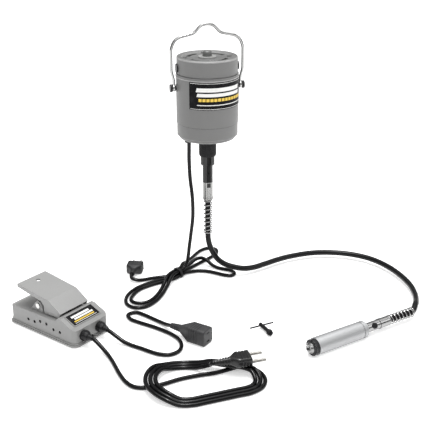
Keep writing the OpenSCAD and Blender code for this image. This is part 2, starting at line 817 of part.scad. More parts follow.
module hand_bearings() {
    color([0.6, 0.6, 0.62]) at_hand() for (x = [ring_end + 1, body_end - 7.5]) difference() {
        bar(9, x, x + 6);
        bar(4 + run_gap, x - 1, x + 7);
    }
}

module chuck_body() {
    nose = nose_end;
    color([0.55, 0.55, 0.56]) at_hand() difference() {
        union() {
            bar(7, body_end + 0.4, body_end + 1.5);
            bar(nose_r, body_end + 1.5, nose - 3.5);
            translate([nose - 3.5, 0, 0]) rotate([0, 90, 0])
                cylinder(r1 = nose_r, r2 = nose_r - 2.4, h = 3.5);
        }
        bar(shank_d / 2 + 0.7, body_end + 2.5, nose + 1);
        for (i = [0 : 2]) rotate([i * 120, 0, 0]) jaw_space(0.12);
    }
}

// Slot for one jaw, tilted so that the jaws close as they run forward
module jaw_space(gap) {
    translate([nose_end - 2, 0, shank_d / 2]) rotate([0, jaw_tilt, 0])
        translate([-13, 0, 1.6]) rotate([0, 90, 0]) cylinder(r = 1.6 + gap, h = 24);
}

// One jaw: a round rod on the slant with its tip cut to the shank
module jaw(i) {
    color(steel) at_hand() rotate([i * 120, 0, 0]) difference() {
        intersection() {
            translate([nose_end - 2, 0, shank_d / 2]) rotate([0, jaw_tilt, 0])
                translate([-11, 0, 1.6]) rotate([0, 90, 0]) cylinder(r = 1.6, h = 15);
            bar(9, body_end + 2.6, nose_end + 1.5);
            // Its own third of the circle
            translate([body_end, 0, 0]) rotate([90, 0, 90]) linear_extrude(40)
                polygon([[0, 0.12], [8.7, 5.14], [8.7, 12], [-8.7, 12], [-8.7, 5.14]]);
        }
        bar(shank_d / 2, body_end, nose_end + 5);
    }
}
module jaw_1() { jaw(0); }
module jaw_2() { jaw(1); }
module jaw_3() { jaw(2); }

module chuck_sleeve() {
    low = body_end + 1.5;
    r = hand_d / 2 - 1.2;
    color([0.16, 0.16, 0.17]) at_hand() difference() {
        union() {
            bar(r, low, low + 3.5);
            translate([low + 3.5, 0, 0]) rotate([0, 90, 0]) cylinder(r1 = r - 0.9, r2 = r - 2.4, h = 2);
            for (i = [0 : chuck_teeth - 1]) rotate([i * 360 / chuck_teeth, 0, 0])
                translate([low + 3, -0.7, r - 2]) rotate([0, -24, 0]) cube([3, 1.4, 1.6]);
        }
        bar(nose_r + run_gap, low - 1, low + 10);
    }
}

// ---------- Chuck key ----------

module at_key() {
    translate([key_pos.x, key_pos.y, key_gear_d / 2 - bench_drop]) rotate([0, 0, key_turn])
        children();
}

module chuck_key() {
    r = key_gear_d / 2;
    color(black) at_key() difference() {
        union() {
            bar(3, -4, key_l - 3);
            translate([key_l - 3, 0, 0]) rotate([0, 90, 0]) cylinder(r1 = r - 0.4, r2 = r - 1.6, h = 5);
            bar(1.6, key_l, key_l + 5);
            for (i = [0 : 9]) rotate([i * 36, 0, 0]) translate([key_l - 3, -0.8, 0])
                rotate([0, 14, 0]) cube([5, 1.6, r]);
        }
        rotate([90, 0, 0]) cylinder(d = 2.4 + 2 * eps, h = 20, center = true);
    }
}

module key_bar() {
    color(black) at_key() rotate([90, 0, 0]) cylinder(d = 2.4, h = key_bar_l, center = true);
}

// ---------- Foot pedal ----------

// Rounded plan outline of the pedal, set in by g
module plan(g) {
    r = 8 - g;
    union() {
        translate([g + r, g]) square([pedal_l - 2 * g - 2 * r, pedal_w - 2 * g]);
        translate([g, g + r]) square([pedal_l - 2 * g, pedal_w - 2 * g - 2 * r]);
        for (x = [g + r, pedal_l - g - r], y = [g + r, pedal_w - g - r]) translate([x, y]) circle(r);
    }
}

// Side outline of the housing, set in by g
module profile(g) {
    polygon([
        [-5, 0], [pedal_l + 5, 0], [pedal_l + 5, house_top - 5], [pedal_l - 2, house_top - 4 - g],
        [pedal_l - 7, house_top - 1 - g], [pedal_l - 28, house_top + 7.5 - g],
        [pedal_l - 34, house_top + 7.5 - g], [pedal_l - 39, house_top + 1 - g],
        [8, house_top - g], [-5, house_top - 4 - g]
    ]);
}

// Solid of the housing, set in by g
module pedal_block(g) {
    intersection() {
        translate([0, 0, house_z - (g > 0 ? 1 : 0)]) linear_extrude(60) plan(g);
        translate([0, pedal_w + 1, 0]) rotate([90, 0, 0]) linear_extrude(pedal_w + 2) profile(g);
    }
}

module pedal_housing() {
    vents = [[40, 17], [53.5, 17], [66, 21.5], [79.5, 21.5], [94, 17], [107.5, 17]];
    ear_y = (pedal_w - treadle_w) / 2;
    color(pedal_grey) at_pedal() difference() {
        union() {
            difference() {
                union() {
                    pedal_block(0);
                    // Bead along the lower edge
                    translate([0, 0, house_z]) linear_extrude(2.2) plan(-1.4);
                }
                pedal_block(pedal_wall);
            }
            // Hinge ears
            for (y = [ear_y, pedal_w - ear_y - 3.5]) translate([0, y + 3.5, 0]) rotate([90, 0, 0])
                linear_extrude(3.5) union() {
                    translate([pin_x, pin_z]) circle(7);
                    polygon([[pin_x - 19, house_top - 1], [pin_x + 10, house_top - 1],
                             [pin_x + 6.6, pin_z + 2.3], [pin_x - 5, pin_z + 4.9]]);
                }
            // Raised frame round the label
            label_frame() difference() {
                translate([-2.5, -3, -1]) cube([23, 54, 2.2]);
                translate([-1.3, -1.8, 0]) cube([20.6, 51.6, 4]);
            }
            // Screw posts under the roof
            for (x = [12, pedal_l - 12], y = [10, pedal_w - 10]) intersection() {
                pedal_block(1);
                translate([x, y, house_z]) cylinder(d = 7, h = 40);
            }
        }
        for (y = [-1, pedal_w - pedal_wall - 1], v = vents) translate([v.x, y, v.y])
            rotate([-90, 0, 0]) cylinder(d = vent_hole_d, h = pedal_wall + 2);
        for (y = gland_y) translate([pedal_l - pedal_wall - 1, y, gland_z])
            bar(gland_d / 2 - 3, 0, pedal_wall + 3);
        // Slot for the treadle's finger
        translate([pin_x + 17, pedal_w / 2 - 5, house_top - 6]) cube([23, 11, 10]);
        for (x = [12, pedal_l - 12], y = [10, pedal_w - 10])
            translate([x, y, house_z - 1]) cylinder(d = 3.4, h = 16);
        translate([pin_x, -1, pin_z]) rotate([-90, 0, 0])
            cylinder(d = pin_d, h = pedal_w + 2);
        // Small arch under the cord end
        translate([pedal_l - pedal_wall - 1, pedal_w / 2 - 2, house_z - 1]) bar(6, 0, pedal_wall + 3);
    }
}

// The label's plane: x runs down the slope, y across
module label_frame() {
    slope = atan2(8.5, 21);
    translate([pedal_l - 28, (pedal_w - 48) / 2, house_top + 7.5]) rotate([0, slope, 0])
        translate([2, 0, 0]) children();
}

module base_plate() {
    color(pedal_grey) at_pedal() difference() {
        translate([0, 0, plate_z]) union() {
            linear_extrude(plate_t) plan(-2.8);
            linear_extrude(plate_t) translate([-6, 8]) square([10, pedal_w - 16]);
        }
        for (x = [12, pedal_l - 12], y = [10, pedal_w - 10]) translate([x, y, 0])
            cylinder(d = 3.4, h = 10);
    }
}

module treadle() {
    w = treadle_w;
    side = (pedal_w - w) / 2;
    rear = 13;
    crease = pin_x + 23;
    front = pin_x + 47;
    rear_z = 65;
    crease_z = 57;
    front_z = 42;
    low = house_top + 2.2;
    t = treadle_t;
    color(pedal_grey) at_pedal() difference() {
        union() {
            // Bent plate
            translate([0, side + w, 0]) rotate([90, 0, 0]) linear_extrude(w) polygon([
                [rear, rear_z], [crease, crease_z], [front, front_z], [front - 3, front_z - 1],
                [crease - 1, crease_z - t - 0.4], [rear, rear_z - t]
            ]);
            // Side skirts, deeper towards the front
            for (y = [side, side + w - t]) translate([0, y + t, 0]) rotate([90, 0, 0])
                linear_extrude(t) polygon([
                    [rear, rear_z - t + 0.2], [rear, rear_z - 5], [pin_x - 20, pin_z + 13.5],
                    [pin_x + 6, pin_z + 9.5], [pin_x + 12, pin_z + 3], [pin_x + 12, low],
                    [front - 5, low + 1.5], [front - 1, front_z - 1.5], [crease, crease_z - t + 0.2]
                ]);
            // Ears round the pin, inside the housing's ears
            for (y = [side + 5.5, side + w - 9.5]) translate([0, y + 4, 0]) rotate([90, 0, 0])
                linear_extrude(4) union() {
                    translate([pin_x, pin_z]) circle(6.5);
                    polygon([[pin_x - 6.4, pin_z], [pin_x + 6.4, pin_z], [pin_x + 9, pin_z + 15],
                             [pin_x - 9, pin_z + 15]]);
                }
            // Finger that works the speed control, with a round toe
            translate([crease, pedal_w / 2 - 1, 16]) cube([3, 6, 39]);
            translate([crease + 5.5, pedal_w / 2 + 4.8, 15]) rotate([90, 0, 0]) cylinder(r = 2, h = 5.6);
            translate([crease, pedal_w / 2 - 1, 13.3]) cube([5.5, 6, 3.2]);
        }
        translate([pin_x, -1, pin_z]) rotate([-90, 0, 0])
            cylinder(d = pin_d + 2 * run_gap, h = pedal_w + 2);
        translate([pin_x - 31, pedal_w / 2 + 2, 40]) cylinder(d = 7, h = 40);
    }
}

module hinge_pin() {
    y = (pedal_w - treadle_w) / 2 - 0.8;
    color(steel) at_pedal() translate([pin_x, y, pin_z]) rotate([-90, 0, 0]) {
        cylinder(d = pin_d, h = treadle_w + 1.6);
        translate([0, 0, -1]) cylinder(d = pin_d + 3, h = 1.2);
        translate([0, 0, treadle_w + 1.4]) cylinder(d = pin_d + 3, h = 1.2);
    }
}

module treadle_spring() {
    r = pin_d / 2 + 1.6;
    y0 = pedal_w / 2 - 14;
    loops = [for (i = [0 : 50])
        [pin_x + r * cos(90 - i * 45), y0 + 1.9 * i / 8, pin_z + r * sin(90 - i * 45)]];
    leg = [[pin_x - 20, y0 - 0.6, pin_z + 16.6], [pin_x - 10, y0 - 0.4, pin_z + 10]];
    foot = [for (z = [pin_z - 5, house_top + 0.9]) [pin_x + r, y0 + 12, z]];
    color(steel) at_pedal() tube(concat(leg, loops, foot), 1.4, 6, [0, 1, 0]);
}

module speed_control() {
    color([0.15, 0.25, 0.2]) at_pedal() difference() {
        union() {
            translate([control_x, pedal_w / 2 + 5, house_z]) cube([24, 22, 20]);
            translate([wiper_x, pedal_w / 2 - 1, 14]) rotate([-90, 0, 0]) cylinder(d = 5, h = 8);
        }
        translate([control_x + 2, pedal_w / 2 + 7, house_z - 1]) cube([20, 18, 4]);
    }
}

module wiper_arm() {
    color([0.7, 0.7, 0.68]) at_pedal() difference() {
        union() {
            translate([wiper_x, pedal_w / 2 + 0.15, 14]) rotate([-90, 0, 0]) cylinder(d = 11, h = 4.5);
            translate([wiper_x, pedal_w / 2 + 0.6, 14]) rotate([0, 12.5, 0]) translate([-25, 0, -1.5])
                cube([25, 3.6, 3]);
        }
        translate([wiper_x, pedal_w / 2 - 5, 14]) rotate([-90, 0, 0]) cylinder(d = 5 + 2 * run_gap, h = 20);
    }
}

module cord_glands() {
    color(black) at_pedal() for (y = gland_y) translate([pedal_l, y, gland_z]) difference() {
        union() {
            bar(gland_d / 2, 0, gland_len - 3);
            translate([gland_len - 3, 0, 0]) rotate([0, 90, 0])
                cylinder(d1 = gland_d, d2 = gland_d - 4, h = 3);
            bar(gland_d / 2 - 3, -pedal_wall, 0.5);
            bar(gland_d / 2 - 0.5, -pedal_wall - 2.5, -pedal_wall);
            for (i = [0 : 7]) rotate([i * 45, 0, 0]) translate([1, -1.2, gland_d / 2 - 1])
                cube([gland_len - 5, 2.4, 1.6]);
        }
        bar(cord_d / 2 + 0.15, -10, gland_len + 1);
    }
}

module pedal_feet() {
    color(black) at_pedal() for (x = [26, pedal_l - 26], y = [12, pedal_w - 12])
        translate([x, y, 0]) cylinder(d = 11, h = plate_z);
}

// ---------- Cords, plugs and socket ----------

// Where the three leads leave the pedal
gland_tip_x = pedal_l + gland_len - 2;
function gland_exit(y, x, up) =
    let (q = placed([x, y], pedal_pos, pedal_turn)) [q.x, q.y, gland_z + up - bench_drop];

// Start of the hank, on top of the bundle in the tie
hank_start = [-49.9, 1.3, 7.6];

module motor_cord() {
    line = concat(
        [[cord_exit.x, cord_exit.y, motor_bottom + 5]],
        [for (p = drop_route) [p.x, p.y, p.z + motor_bottom]],
        [for (p = laid([hank_start], cord_d / 2)) p]
    );
    color(black) tube(curve(line, 2), cord_d, 8, [0, 1, 0]);
}

module motor_hank() {
    line = curve(laid(concat([hank_start], hank_route), cord_d / 2), 2);
    fine = curve(laid(concat([hank_start], hank_route), cord_d / 2), 6);
    echo(motor_hank_gap = self_gap(fine, cord_d, 12), motor_hank_length = path_length(fine));
    color(black) tube(line, cord_d, 8, [0, 0, 1]);
}

function path_length(p) = norm_sum([for (i = [1 : len(p) - 1]) norm(p[i] - p[i - 1])]);
function norm_sum(v) = v * [for (x = v) 1];

module cord_tie() {
    w = 21.5;
    h = 14.5;
    color(black) translate([tie_pos.x, tie_pos.y, -bench_drop]) rotate([0, 0, tie_turn])
        rotate([90, 0, 90]) translate([0, 0, -2.5]) linear_extrude(5) difference() {
            tie_outline(w + 2, h + 1.2, 3.6);
            translate([0, 1]) tie_outline(w, h - 0.8, 3);
        }
}
module tie_outline(w, h, r) {
    translate([-w / 2 + r, 0]) square([w - 2 * r, h]);
    translate([-w / 2, r]) square([w, h - 2 * r]);
    for (x = [-w / 2 + r, w / 2 - r], y = [r, h - r]) translate([x, y]) circle(r, $fn = 24);
}

// Moulded two-blade plug
module motor_plug() {
    color(black) at_plug(motor_plug_pos, motor_plug_turn) {
        difference() {
            union() {
                translate([-1, 0, 0]) rotate([0, 90, 0]) cylinder(d1 = cord_d + 2, d2 = 11, h = 9);
                hull() {
                    translate([6, -5, -5.5]) cube([1, 10, 11]);
                    translate([14, -13.5, -8.5]) cube([17, 27, 17]);
                }
            }
            bar(cord_d / 2 + 0.15, -2, 4);
        }
    }
}

// The bright contacts: two flat blades and two round pins
module plug_contacts() {
    color(brass) at_plug(motor_plug_pos, motor_plug_turn) for (y = [-6.35, 6.35])
        translate([31, y - 0.75, -3.2]) cube([16, 1.5, 6.4]);
    color(brass) at_plug(mains_plug_pos, mains_plug_turn) for (y = [-9.5, 9.5])
        translate([0, y, 0]) {
            bar(1.9, 46.6, 48);
            bar(2.4, 47, 66);
        }
}

module socket_lead() {
    tip = placed([-6, 0], socket_pos, socket_turn);
    line = concat(
        [gland_exit(gland_y[1], pedal_l - 8, 0), gland_exit(gland_y[1], pedal_l + gland_len, 0)],
        laid(socket_route, cord_d / 2),
        [[tip.x, tip.y, socket_pos.z - bench_drop],
         [socket_pos.x, socket_pos.y, socket_pos.z - bench_drop]]
    );
    echo(socket_lead_length = path_length(curve(line, 6)));
    color(black) tube(curve(line, 2), cord_d, 8, [0, 0, 1]);
}

// Moulded socket with two slots, one above the other
module lead_socket() {
    w = 25;
    c = 4.5;
    color(black) at_plug(socket_pos, socket_turn) difference() {
        union() {
            translate([-1, 0, 0]) rotate([0, 90, 0]) cylinder(d1 = cord_d + 3, d2 = 12, h = 11);
            hull() {
                translate([8, -6, -6]) cube([1, 12, 12]);
                translate([25, -w / 2, -w / 2 + c]) cube([30, w, w - 2 * c]);
                translate([25, -w / 2 + c, -w / 2]) cube([30, w - 2 * c, w]);
            }
        }
        bar(cord_d / 2 + 0.15, -2, 4);
        for (z = [-6.35, 6.35]) translate([37, -3.4, z - 1]) cube([20, 6.8, 2]);
    }
}

module mains_cord() {
    first = coil_point(0);
    before = coil_point(0) - 9 * unit(coil_point(0.02) - coil_point(0));
    line = concat(
        [gland_exit(gland_y[0], pedal_l - 8, 0), gland_exit(gland_y[0], pedal_l + gland_len, 0)],
        laid(mains_route, cord_d / 2),
        [before, first]
    );
    echo(mains_cord_length = path_length(curve(line, 6)));
    color(black) tube(curve(line, 2), cord_d, 8, [0, 0, 1]);
}

// Lead-out from the end of the coil up into the plug
plug_climb = [[-86, -294, 2], [-78, -301, 7], [-70, -308, 13]];

module mains_coil() {
    steps = floor(coil_end * coil_rings);
    turns = [for (i = [0 : steps]) coil_point(i / coil_rings)];
    fine = [for (i = [0 : steps * 4]) coil_point(i / coil_rings / 4)];
    tip = placed([-7, 0], mains_plug_pos, mains_plug_turn);
    lead = concat([turns[steps]], laid(plug_climb, cord_d / 2),
        [[tip.x, tip.y, mains_plug_pos.z - bench_drop],
         [mains_plug_pos.x, mains_plug_pos.y, mains_plug_pos.z - bench_drop]]);
    echo(mains_coil_gap = self_gap(fine, cord_d, 16),
         mains_coil_length = path_length(fine) + path_length(curve(lead, 4)));
    color(black) tube(concat(turns, [for (p = [for (q = curve(lead, 2)) q]) if (p != turns[steps]) p]),
        cord_d, 6, [0, 0, 1]);
}

// Moulded plug with two round pins
module mains_plug() {
    color(black) at_plug(mains_plug_pos, mains_plug_turn) difference() {
        union() {
            translate([-1, 0, 0]) rotate([0, 90, 0]) cylinder(d1 = cord_d + 3, d2 = 12, h = 19);
            for (x = [3 : 4 : 15]) bar(5.6 + x / 30, x, x + 2);
            hull() {
                translate([17, -5.5, -5.5]) cube([1, 11, 11]);
                translate([29, -13.5, -7]) cube([17.6, 27, 14]);
            }
        }
        bar(cord_d / 2 + 0.15, -2, 4);
    }
}

motor_housing();
top_cap();
lower_cover();
stator_core();
field_coils();
armature();
commutator();
motor_shaft();
cooling_fan();
motor_bearings();
brush_holders();
carbon_brushes();
brush_caps();
bail();
pivot_knobs();
case_screws();
label_plates();
output_collar();
lock_sleeve();
coupling_tube();
drive_socket();
cord_bush();
shaft_ferrule();
upper_spring();
sheath();
flex_core();
lower_spring();
hand_ferrule();
hand_neck();
release_button();
rear_ring();
hand_body();
spindle();
hand_bearings();
chuck_body();
chuck_sleeve();
jaw_1();
jaw_2();
jaw_3();
chuck_key();
key_bar();
base_plate();
pedal_housing();
treadle();
hinge_pin();
treadle_spring();
speed_control();
wiper_arm();
cord_glands();
pedal_feet();
motor_cord();
motor_hank();
cord_tie();
motor_plug();
plug_contacts();
socket_lead();
lead_socket();
mains_cord();
mains_coil();
mains_plug();
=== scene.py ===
import math
from functools import cache, partial

import bmesh
import bpy
from bpy.props import FloatProperty, FloatVectorProperty, IntProperty, PointerProperty
from bpy.types import Operator, Panel, PropertyGroup
from mathutils import Matrix, Vector


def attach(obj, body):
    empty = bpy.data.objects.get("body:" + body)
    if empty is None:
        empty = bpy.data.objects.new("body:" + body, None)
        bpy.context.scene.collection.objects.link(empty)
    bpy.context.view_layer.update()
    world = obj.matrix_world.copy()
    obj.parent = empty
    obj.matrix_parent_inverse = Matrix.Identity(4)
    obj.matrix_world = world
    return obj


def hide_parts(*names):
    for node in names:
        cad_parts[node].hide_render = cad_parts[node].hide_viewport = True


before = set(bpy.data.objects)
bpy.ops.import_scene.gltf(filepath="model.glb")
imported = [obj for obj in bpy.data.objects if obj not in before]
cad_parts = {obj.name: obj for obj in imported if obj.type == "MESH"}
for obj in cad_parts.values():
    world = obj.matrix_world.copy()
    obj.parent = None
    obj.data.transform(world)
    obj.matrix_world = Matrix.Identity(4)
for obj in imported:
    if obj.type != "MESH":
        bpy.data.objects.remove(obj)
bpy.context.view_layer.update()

bl_info = {
    "name": "Hanging flex shaft tool",
    "version": (1, 0, 0),
    "blender": (4, 5, 0),
    "location": "View3D > Sidebar > Flex Shaft",
    "description": "Leads, springs, plugs, paint and metal finishes of a hanging flex shaft tool",
    "category": "Object",
}

MM = 0.001
BENCH = -0.42
BENCH_GLOW = 0.42
GLAND_FACE, GLAND_HEIGHT, GLAND_STUB = 0.144, 0.016, 0.005


def placed(x, y, z, turn):
    """A frame on the bench: its origin, and its heading in degrees."""
    return Matrix.Translation((x, y, z)) @ Matrix.Rotation(math.radians(turn), 4, "Z")


# Frames of the things that lie on the bench, each with x running forward
HAND = placed(0.178, -0.2605, BENCH + 0.013, 199)
PEDAL = placed(-0.330, -0.088, BENCH, -51)
MAINS_PLUG = placed(-0.062, -0.313, BENCH + 0.021, 1)
SOCKET = placed(-0.093, -0.190, BENCH + 0.013, -46)
MOTOR_PLUG = placed(-0.127, 0.018, BENCH + 0.009, 70)
TIE = placed(-0.052, 0.004, BENCH, 38)
COIL = placed(-0.082, -0.328, BENCH, -10)

# Laid routes, as points on the lead's centre line in millimetres: x, y, and the height above the
# bench where the lead doesn't lie flat on it
LYING = 3.1
MOTOR_LEAD = (
    (-33, -12, 244), (-33, -12, 232), (-33.2, -12, 212), (-32, -11.5, 182), (-28, -9, 146),
    (-26, -2, 110), (-27.5, 7, 76), (-29.5, 13.5, 48), (-31, 16, 30), (-33.5, 14.2, 19.7),
    (-38.5, 10.3, 13.1), (-45.2, 5, 10.7), (-49.9, 1.3, 10.7), (-57.8, -4.9, 10.7), (-66, -15.5, 10.5),
    (-72.5, -26, 7.1), (-78.5, -37, 3.6), (-90, -60), (-105, -82), (-124, -97), (-143, -95),
    (-152, -78), (-147, -54), (-130, -31.5), (-104, -16), (-78, -8), (-62.5, -4.2, 4.1),
    (-44.1, 10.2, 4.4), (-24, 26), (-4, 42), (15, 56), (31, 71), (36, 89), (24, 99), (8, 92), (-6, 76),
    (-18, 60), (-29, 44, 6.1), (-38, 29, 10.9), (-46.2, 12.9, 10.9), (-62, 0.5, 10.9), (-73, -13, 10.7),
    (-79, -24, 8.1), (-84.6, -34, 4.1), (-96.2, -56.3), (-110.3, -76), (-125, -84), (-139, -79),
    (-142, -64), (-125, -37), (-100.6, -23), (-76, -15.2), (-58.3, -9.6, 4.1), (-39.9, 4.8, 4.4),
    (-28, 9, 3.6), (-14, 10), (0, 4.5), (13, -6), (25, -17), (36, -21), (43, -13), (39, -1), (29, 7),
    (20, 15), (13, 25, 4.6), (7, 35, 8.6), (-1, 45, 10.5), (-12, 47, 7.6), (-24, 39, 3.6), (-36, 27.5),
    (-48.3, 15.6, 4.4), (-64.1, 3.2, 4.4), (-73, 1, 3.6), (-86, 1.5), (-99, 0.5), (-111, -2, 3.4),
    (-122, -3, 4.6), (-130, 1.5, 6.6), (-130.5, 9.5, 8.3), (-127, 18, 9),
)
SOCKET_LEAD = (
    (-192, -181, 15.1), (-184, -190, 11.1), (-174, -200, 5.6), (-163, -210), (-151, -222), (-140, -234),
    (-128, -244), (-114, -248), (-101, -242), (-94, -228), (-94, -210), (-101, -193), (-113, -176),
    (-127, -160), (-141, -146), (-153, -132), (-155, -117), (-142, -112), (-131, -123), (-121, -137),
    (-111, -152, 3.5), (-104, -167, 6.3), (-99, -180, 10.9),
)
MAINS_LEAD = (
    (-216, -201, 15.1), (-209, -211, 10.1), (-202, -224, 5.1), (-197, -242), (-194, -262), (-191, -282),
    (-186, -302), (-177, -317), (-160, -323), (-138, -320), (-114, -313.5), (-88, -310.5), (-66, -310),
    (-48, -306.5), (-34, -303),
)
PLUG_CLIMB = (
    (-86, -294, 5.1), (-78, -301, 10.1), (-70, -308, 16.1),
)
SHEATH_BEND = (
    (0, 0, 139), (0, 0, 138), (0, 0, 108), (0, 0, 78),
    (0.5, 0, 66), (3, 0.5, 54), (8, 0, 41), (16, -3, 28), (27, -8.5, 20), (41, -14, 15.5),
    (58, -17, 12), (78, -12, 9.7), (101, -3, 9.7), (127, 8, 9.7), (152, 15.5, 9.7), (190, 20, 9.7),
    (224, 14.5, 9.7), (257, -1, 9.7), (284, -27, 9.7), (300, -62, 9.7), (307, -100, 9.7),
    (307, -138, 9.7), (300, -170, 10.5), (289.5, -196, 13), (277.5, -216.5, 16),
)


# ---------- Sizes and colours ----------


def length(label, text, default, low, high):
    """A size in metres."""
    return FloatProperty(name=label, description=text, default=default, min=low, max=high, unit="LENGTH")


def paint(label, text, red, green, blue):
    """A colour."""
    return FloatVectorProperty(name=label, description=text, default=(red, green, blue, 1.0),
                               size=4, min=0.0, max=1.0, subtype="COLOR")


class FlexShaftSizes(PropertyGroup):
    """Sizes of the dressed pieces."""

    lead_thickness: length("Lead thickness", "Diameter of the three leads", 0.0062, 0.004, 0.0065)
    sheath_thickness: length(
        "Sheath thickness", "Diameter of the flexible shaft's sheath", 0.0094, 0.008, 0.01)
    spring_across: length("Spring diameter", "Outer diameter of the two guard springs", 0.0154, 0.014, 0.016)
    spring_wire: length("Spring wire", "Diameter of the guard springs' wire", 0.0018, 0.001, 0.002)
    spring_curls: IntProperty(
        name="Spring curls", description="Number of curls in each guard spring", default=8, min=6, max=10)
    bail_wire: length("Bail wire", "Diameter of the wire that the motor hangs from", 0.0045, 0.003, 0.005)
    boot_length: length(
        "Boot length", "Length of the rubber boot in front of each cord gland", 0.011, 0.008, 0.03)
    edge_softness: length(
        "Edge softness", "Radius by which painted and moulded edges look rounded", 0.0006, 0.0, 0.002)


class FlexShaftColours(PropertyGroup):
    """Colours of the finishes."""

    motor_enamel: paint("Motor enamel", "Colour of the motor's paint", 0.162, 0.162, 0.160)
    pedal_enamel: paint("Pedal enamel", "Colour of the pedal's paint", 0.29, 0.29, 0.286)
    lead_black: paint("Lead", "Colour of the leads' jacket", 0.0025, 0.0025, 0.003)
    plug_grey: paint("Plug", "Colour of the moulded plugs and socket", 0.024, 0.024, 0.025)
    handle_silver: paint("Handpiece", "Colour of the handpiece's turned metal", 0.44, 0.445, 0.45)
    spring_steel: paint("Spring steel", "Colour of the bail and the springs", 0.56, 0.56, 0.555)
    stripe_pale: paint("Pale stripe", "Colour of the name plates' pale stripes", 0.82, 0.82, 0.80)
    stripe_gold: paint("Gold stripe", "Colour of the name plates' gold band", 0.80, 0.56, 0.10)


def sizes():
    """The sizes as set in the scene."""
    return bpy.context.scene.flex_shaft_sizes


def colours():
    """The colours as set in the scene."""
    return bpy.context.scene.flex_shaft_colours


# ---------- Lines ----------


def blend(a, b, c, d, t):
    """A point between b and c on a smooth line, with a and d as neighbours."""
    return 0.5 * (2 * b + (c - a) * t + (2 * a - 5 * b + 4 * c - d) * t * t
                  + (3 * b - a - 3 * c + d) * t * t * t)


def smooth_line(points, steps):
    """A smooth line through the points, with steps between neighbours."""
    points = [Vector(p) for p in points]
    last = len(points) - 1
    line = []
    for i in range(last):
        before = points[i - 1] if i else 2 * points[0] - points[1]
        after = points[i + 2] if i + 2 <= last else 2 * points[last] - points[last - 1]
        line += [blend(before, points[i], points[i + 1], after, k / steps) for k in range(steps)]
    return line + [points[last]]


def laid(route):
    """A route's points in metres."""
    return [Vector((x * MM, y * MM, BENCH + (up[0] if up else LYING) * MM)) for x, y, *up in route]


def along(place, *distances):
    """Points on the place's x axis, at distances in millimetres."""
    return [place @ Vector((distance * MM, 0, 0)) for distance in distances]


def out_of_gland(across):
    """The start of a lead that leaves the pedal through a gland."""
    return [PEDAL @ Vector((x, across, GLAND_HEIGHT)) for x in (GLAND_FACE, GLAND_FACE + GLAND_STUB)]


def length_of(line):
    """How long a line is."""
    return sum((b - a).length for a, b in zip(line, line[1:]))


def stretch(line, start, end, step):
    """Points of the line between two distances from its start, a step apart."""
    gone, found, wanted = 0.0, [], start
    for a, b in zip(line, line[1:]):
        piece = (b - a).length
        while wanted <= min(end, gone + piece):
            found.append(a.lerp(b, (wanted - gone) / piece))
            wanted += step
        gone += piece
    return found


def rounded_corners(points, radius, steps):
    """The points with each corner eased by a short curve."""
    points = [Vector(p) for p in points]
    line = [points[0]]
    for a, b, c in zip(points, points[1:], points[2:]):
        to_a, to_c = (a - b).normalized(), (c - b).normalized()
        room = 0.48 * min((a - b).length, (c - b).length)
        cut = min(radius / math.tan(to_a.angle(to_c) / 2), room)
        for k in range(steps + 1):
            t = k / steps
            line.append(b + (1 - t) ** 2 * cut * to_a + t * t * cut * to_c)
    return line + [points[-1]]


def coil_of_wire(radius, low, high, turns, around):
    """A wire's line along Z, with a flat closed curl at each end."""
    count, flat = int(turns * around), around * 3 // 4
    line = []
    for i in range(-flat, count + flat):
        a = i * math.tau / around
        height = low + (high - low) * min(max(i / count, 0.0), 1.0)
        line.append(Vector((radius * math.cos(a), radius * math.sin(a), height)))
    return line


# ---------- The mains coil ----------

COIL_LEFT, COIL_RIGHT = -0.028, 0.048
LEFT_RADIUS, RIGHT_RADIUS = 0.034, 0.011
COIL_START, COIL_PITCH, COIL_END, COIL_STEPS = 0.0224, 0.0068, 2.81, 24
# Shares of a turn at which the right bend, the near run and the left bend end
BENT_RIGHT, RUN_LEFT, BENT_LEFT = 0.17, 0.36, 0.81
# The strands rise where they cross: how high, then where on a turn and how wide, at both crossings
HUMP, LEAD_CROSSING, PLUG_CROSSING = 0.0076, (0.57, 0.17), (-0.05, 0.15)


def ease(t):
    """From 0 to 1 with soft ends."""
    t = min(1.0, max(0.0, t))
    return t * t * (3 - 2 * t)


def hump(share, middle, width):
    """1 at a crossing, falling to 0 on both sides of it."""
    return ease((width - abs(share - middle)) / (0.55 * width))


def coil_point(turn):
    """A point of the coil after so many turns from its outer end."""
    share = turn - math.floor(turn)
    lean = math.asin((LEFT_RADIUS - RIGHT_RADIUS) / (COIL_RIGHT - COIL_LEFT))
    up = math.pi / 2 - lean
    if share < BENT_RIGHT:
        angle, across = up - 2 * up * share / BENT_RIGHT, 0.0
    elif share < RUN_LEFT:
        angle, across = -up, (share - BENT_RIGHT) / (RUN_LEFT - BENT_RIGHT)
    elif share < BENT_LEFT:
        done = (share - RUN_LEFT) / (BENT_LEFT - RUN_LEFT)
        angle, across = -up - (math.tau - 2 * up) * done, 1.0
    else:
        angle, across = up, (1 - share) / (1 - BENT_LEFT)
    centre = COIL_RIGHT + (COIL_LEFT - COIL_RIGHT) * across
    radius = RIGHT_RADIUS + (LEFT_RADIUS - RIGHT_RADIUS) * across + COIL_START - COIL_PITCH * turn
    x, y = centre + radius * math.cos(angle), radius * math.sin(angle)
    rise = hump(share, *LEAD_CROSSING)
    if turn > 0.5:
        rise = max(rise, hump(turn - round(turn), *PLUG_CROSSING))
    return COIL @ Vector((x, y, sizes().lead_thickness / 2 + HUMP * rise))


# ---------- Mesh tools ----------

# Edges that turn by more than these degrees stay sharp
SHARP = 35.0


def circle(count):
    """Points of a circle of radius 1."""
    return [(math.cos(math.tau * i / count), math.sin(math.tau * i / count)) for i in range(count)]


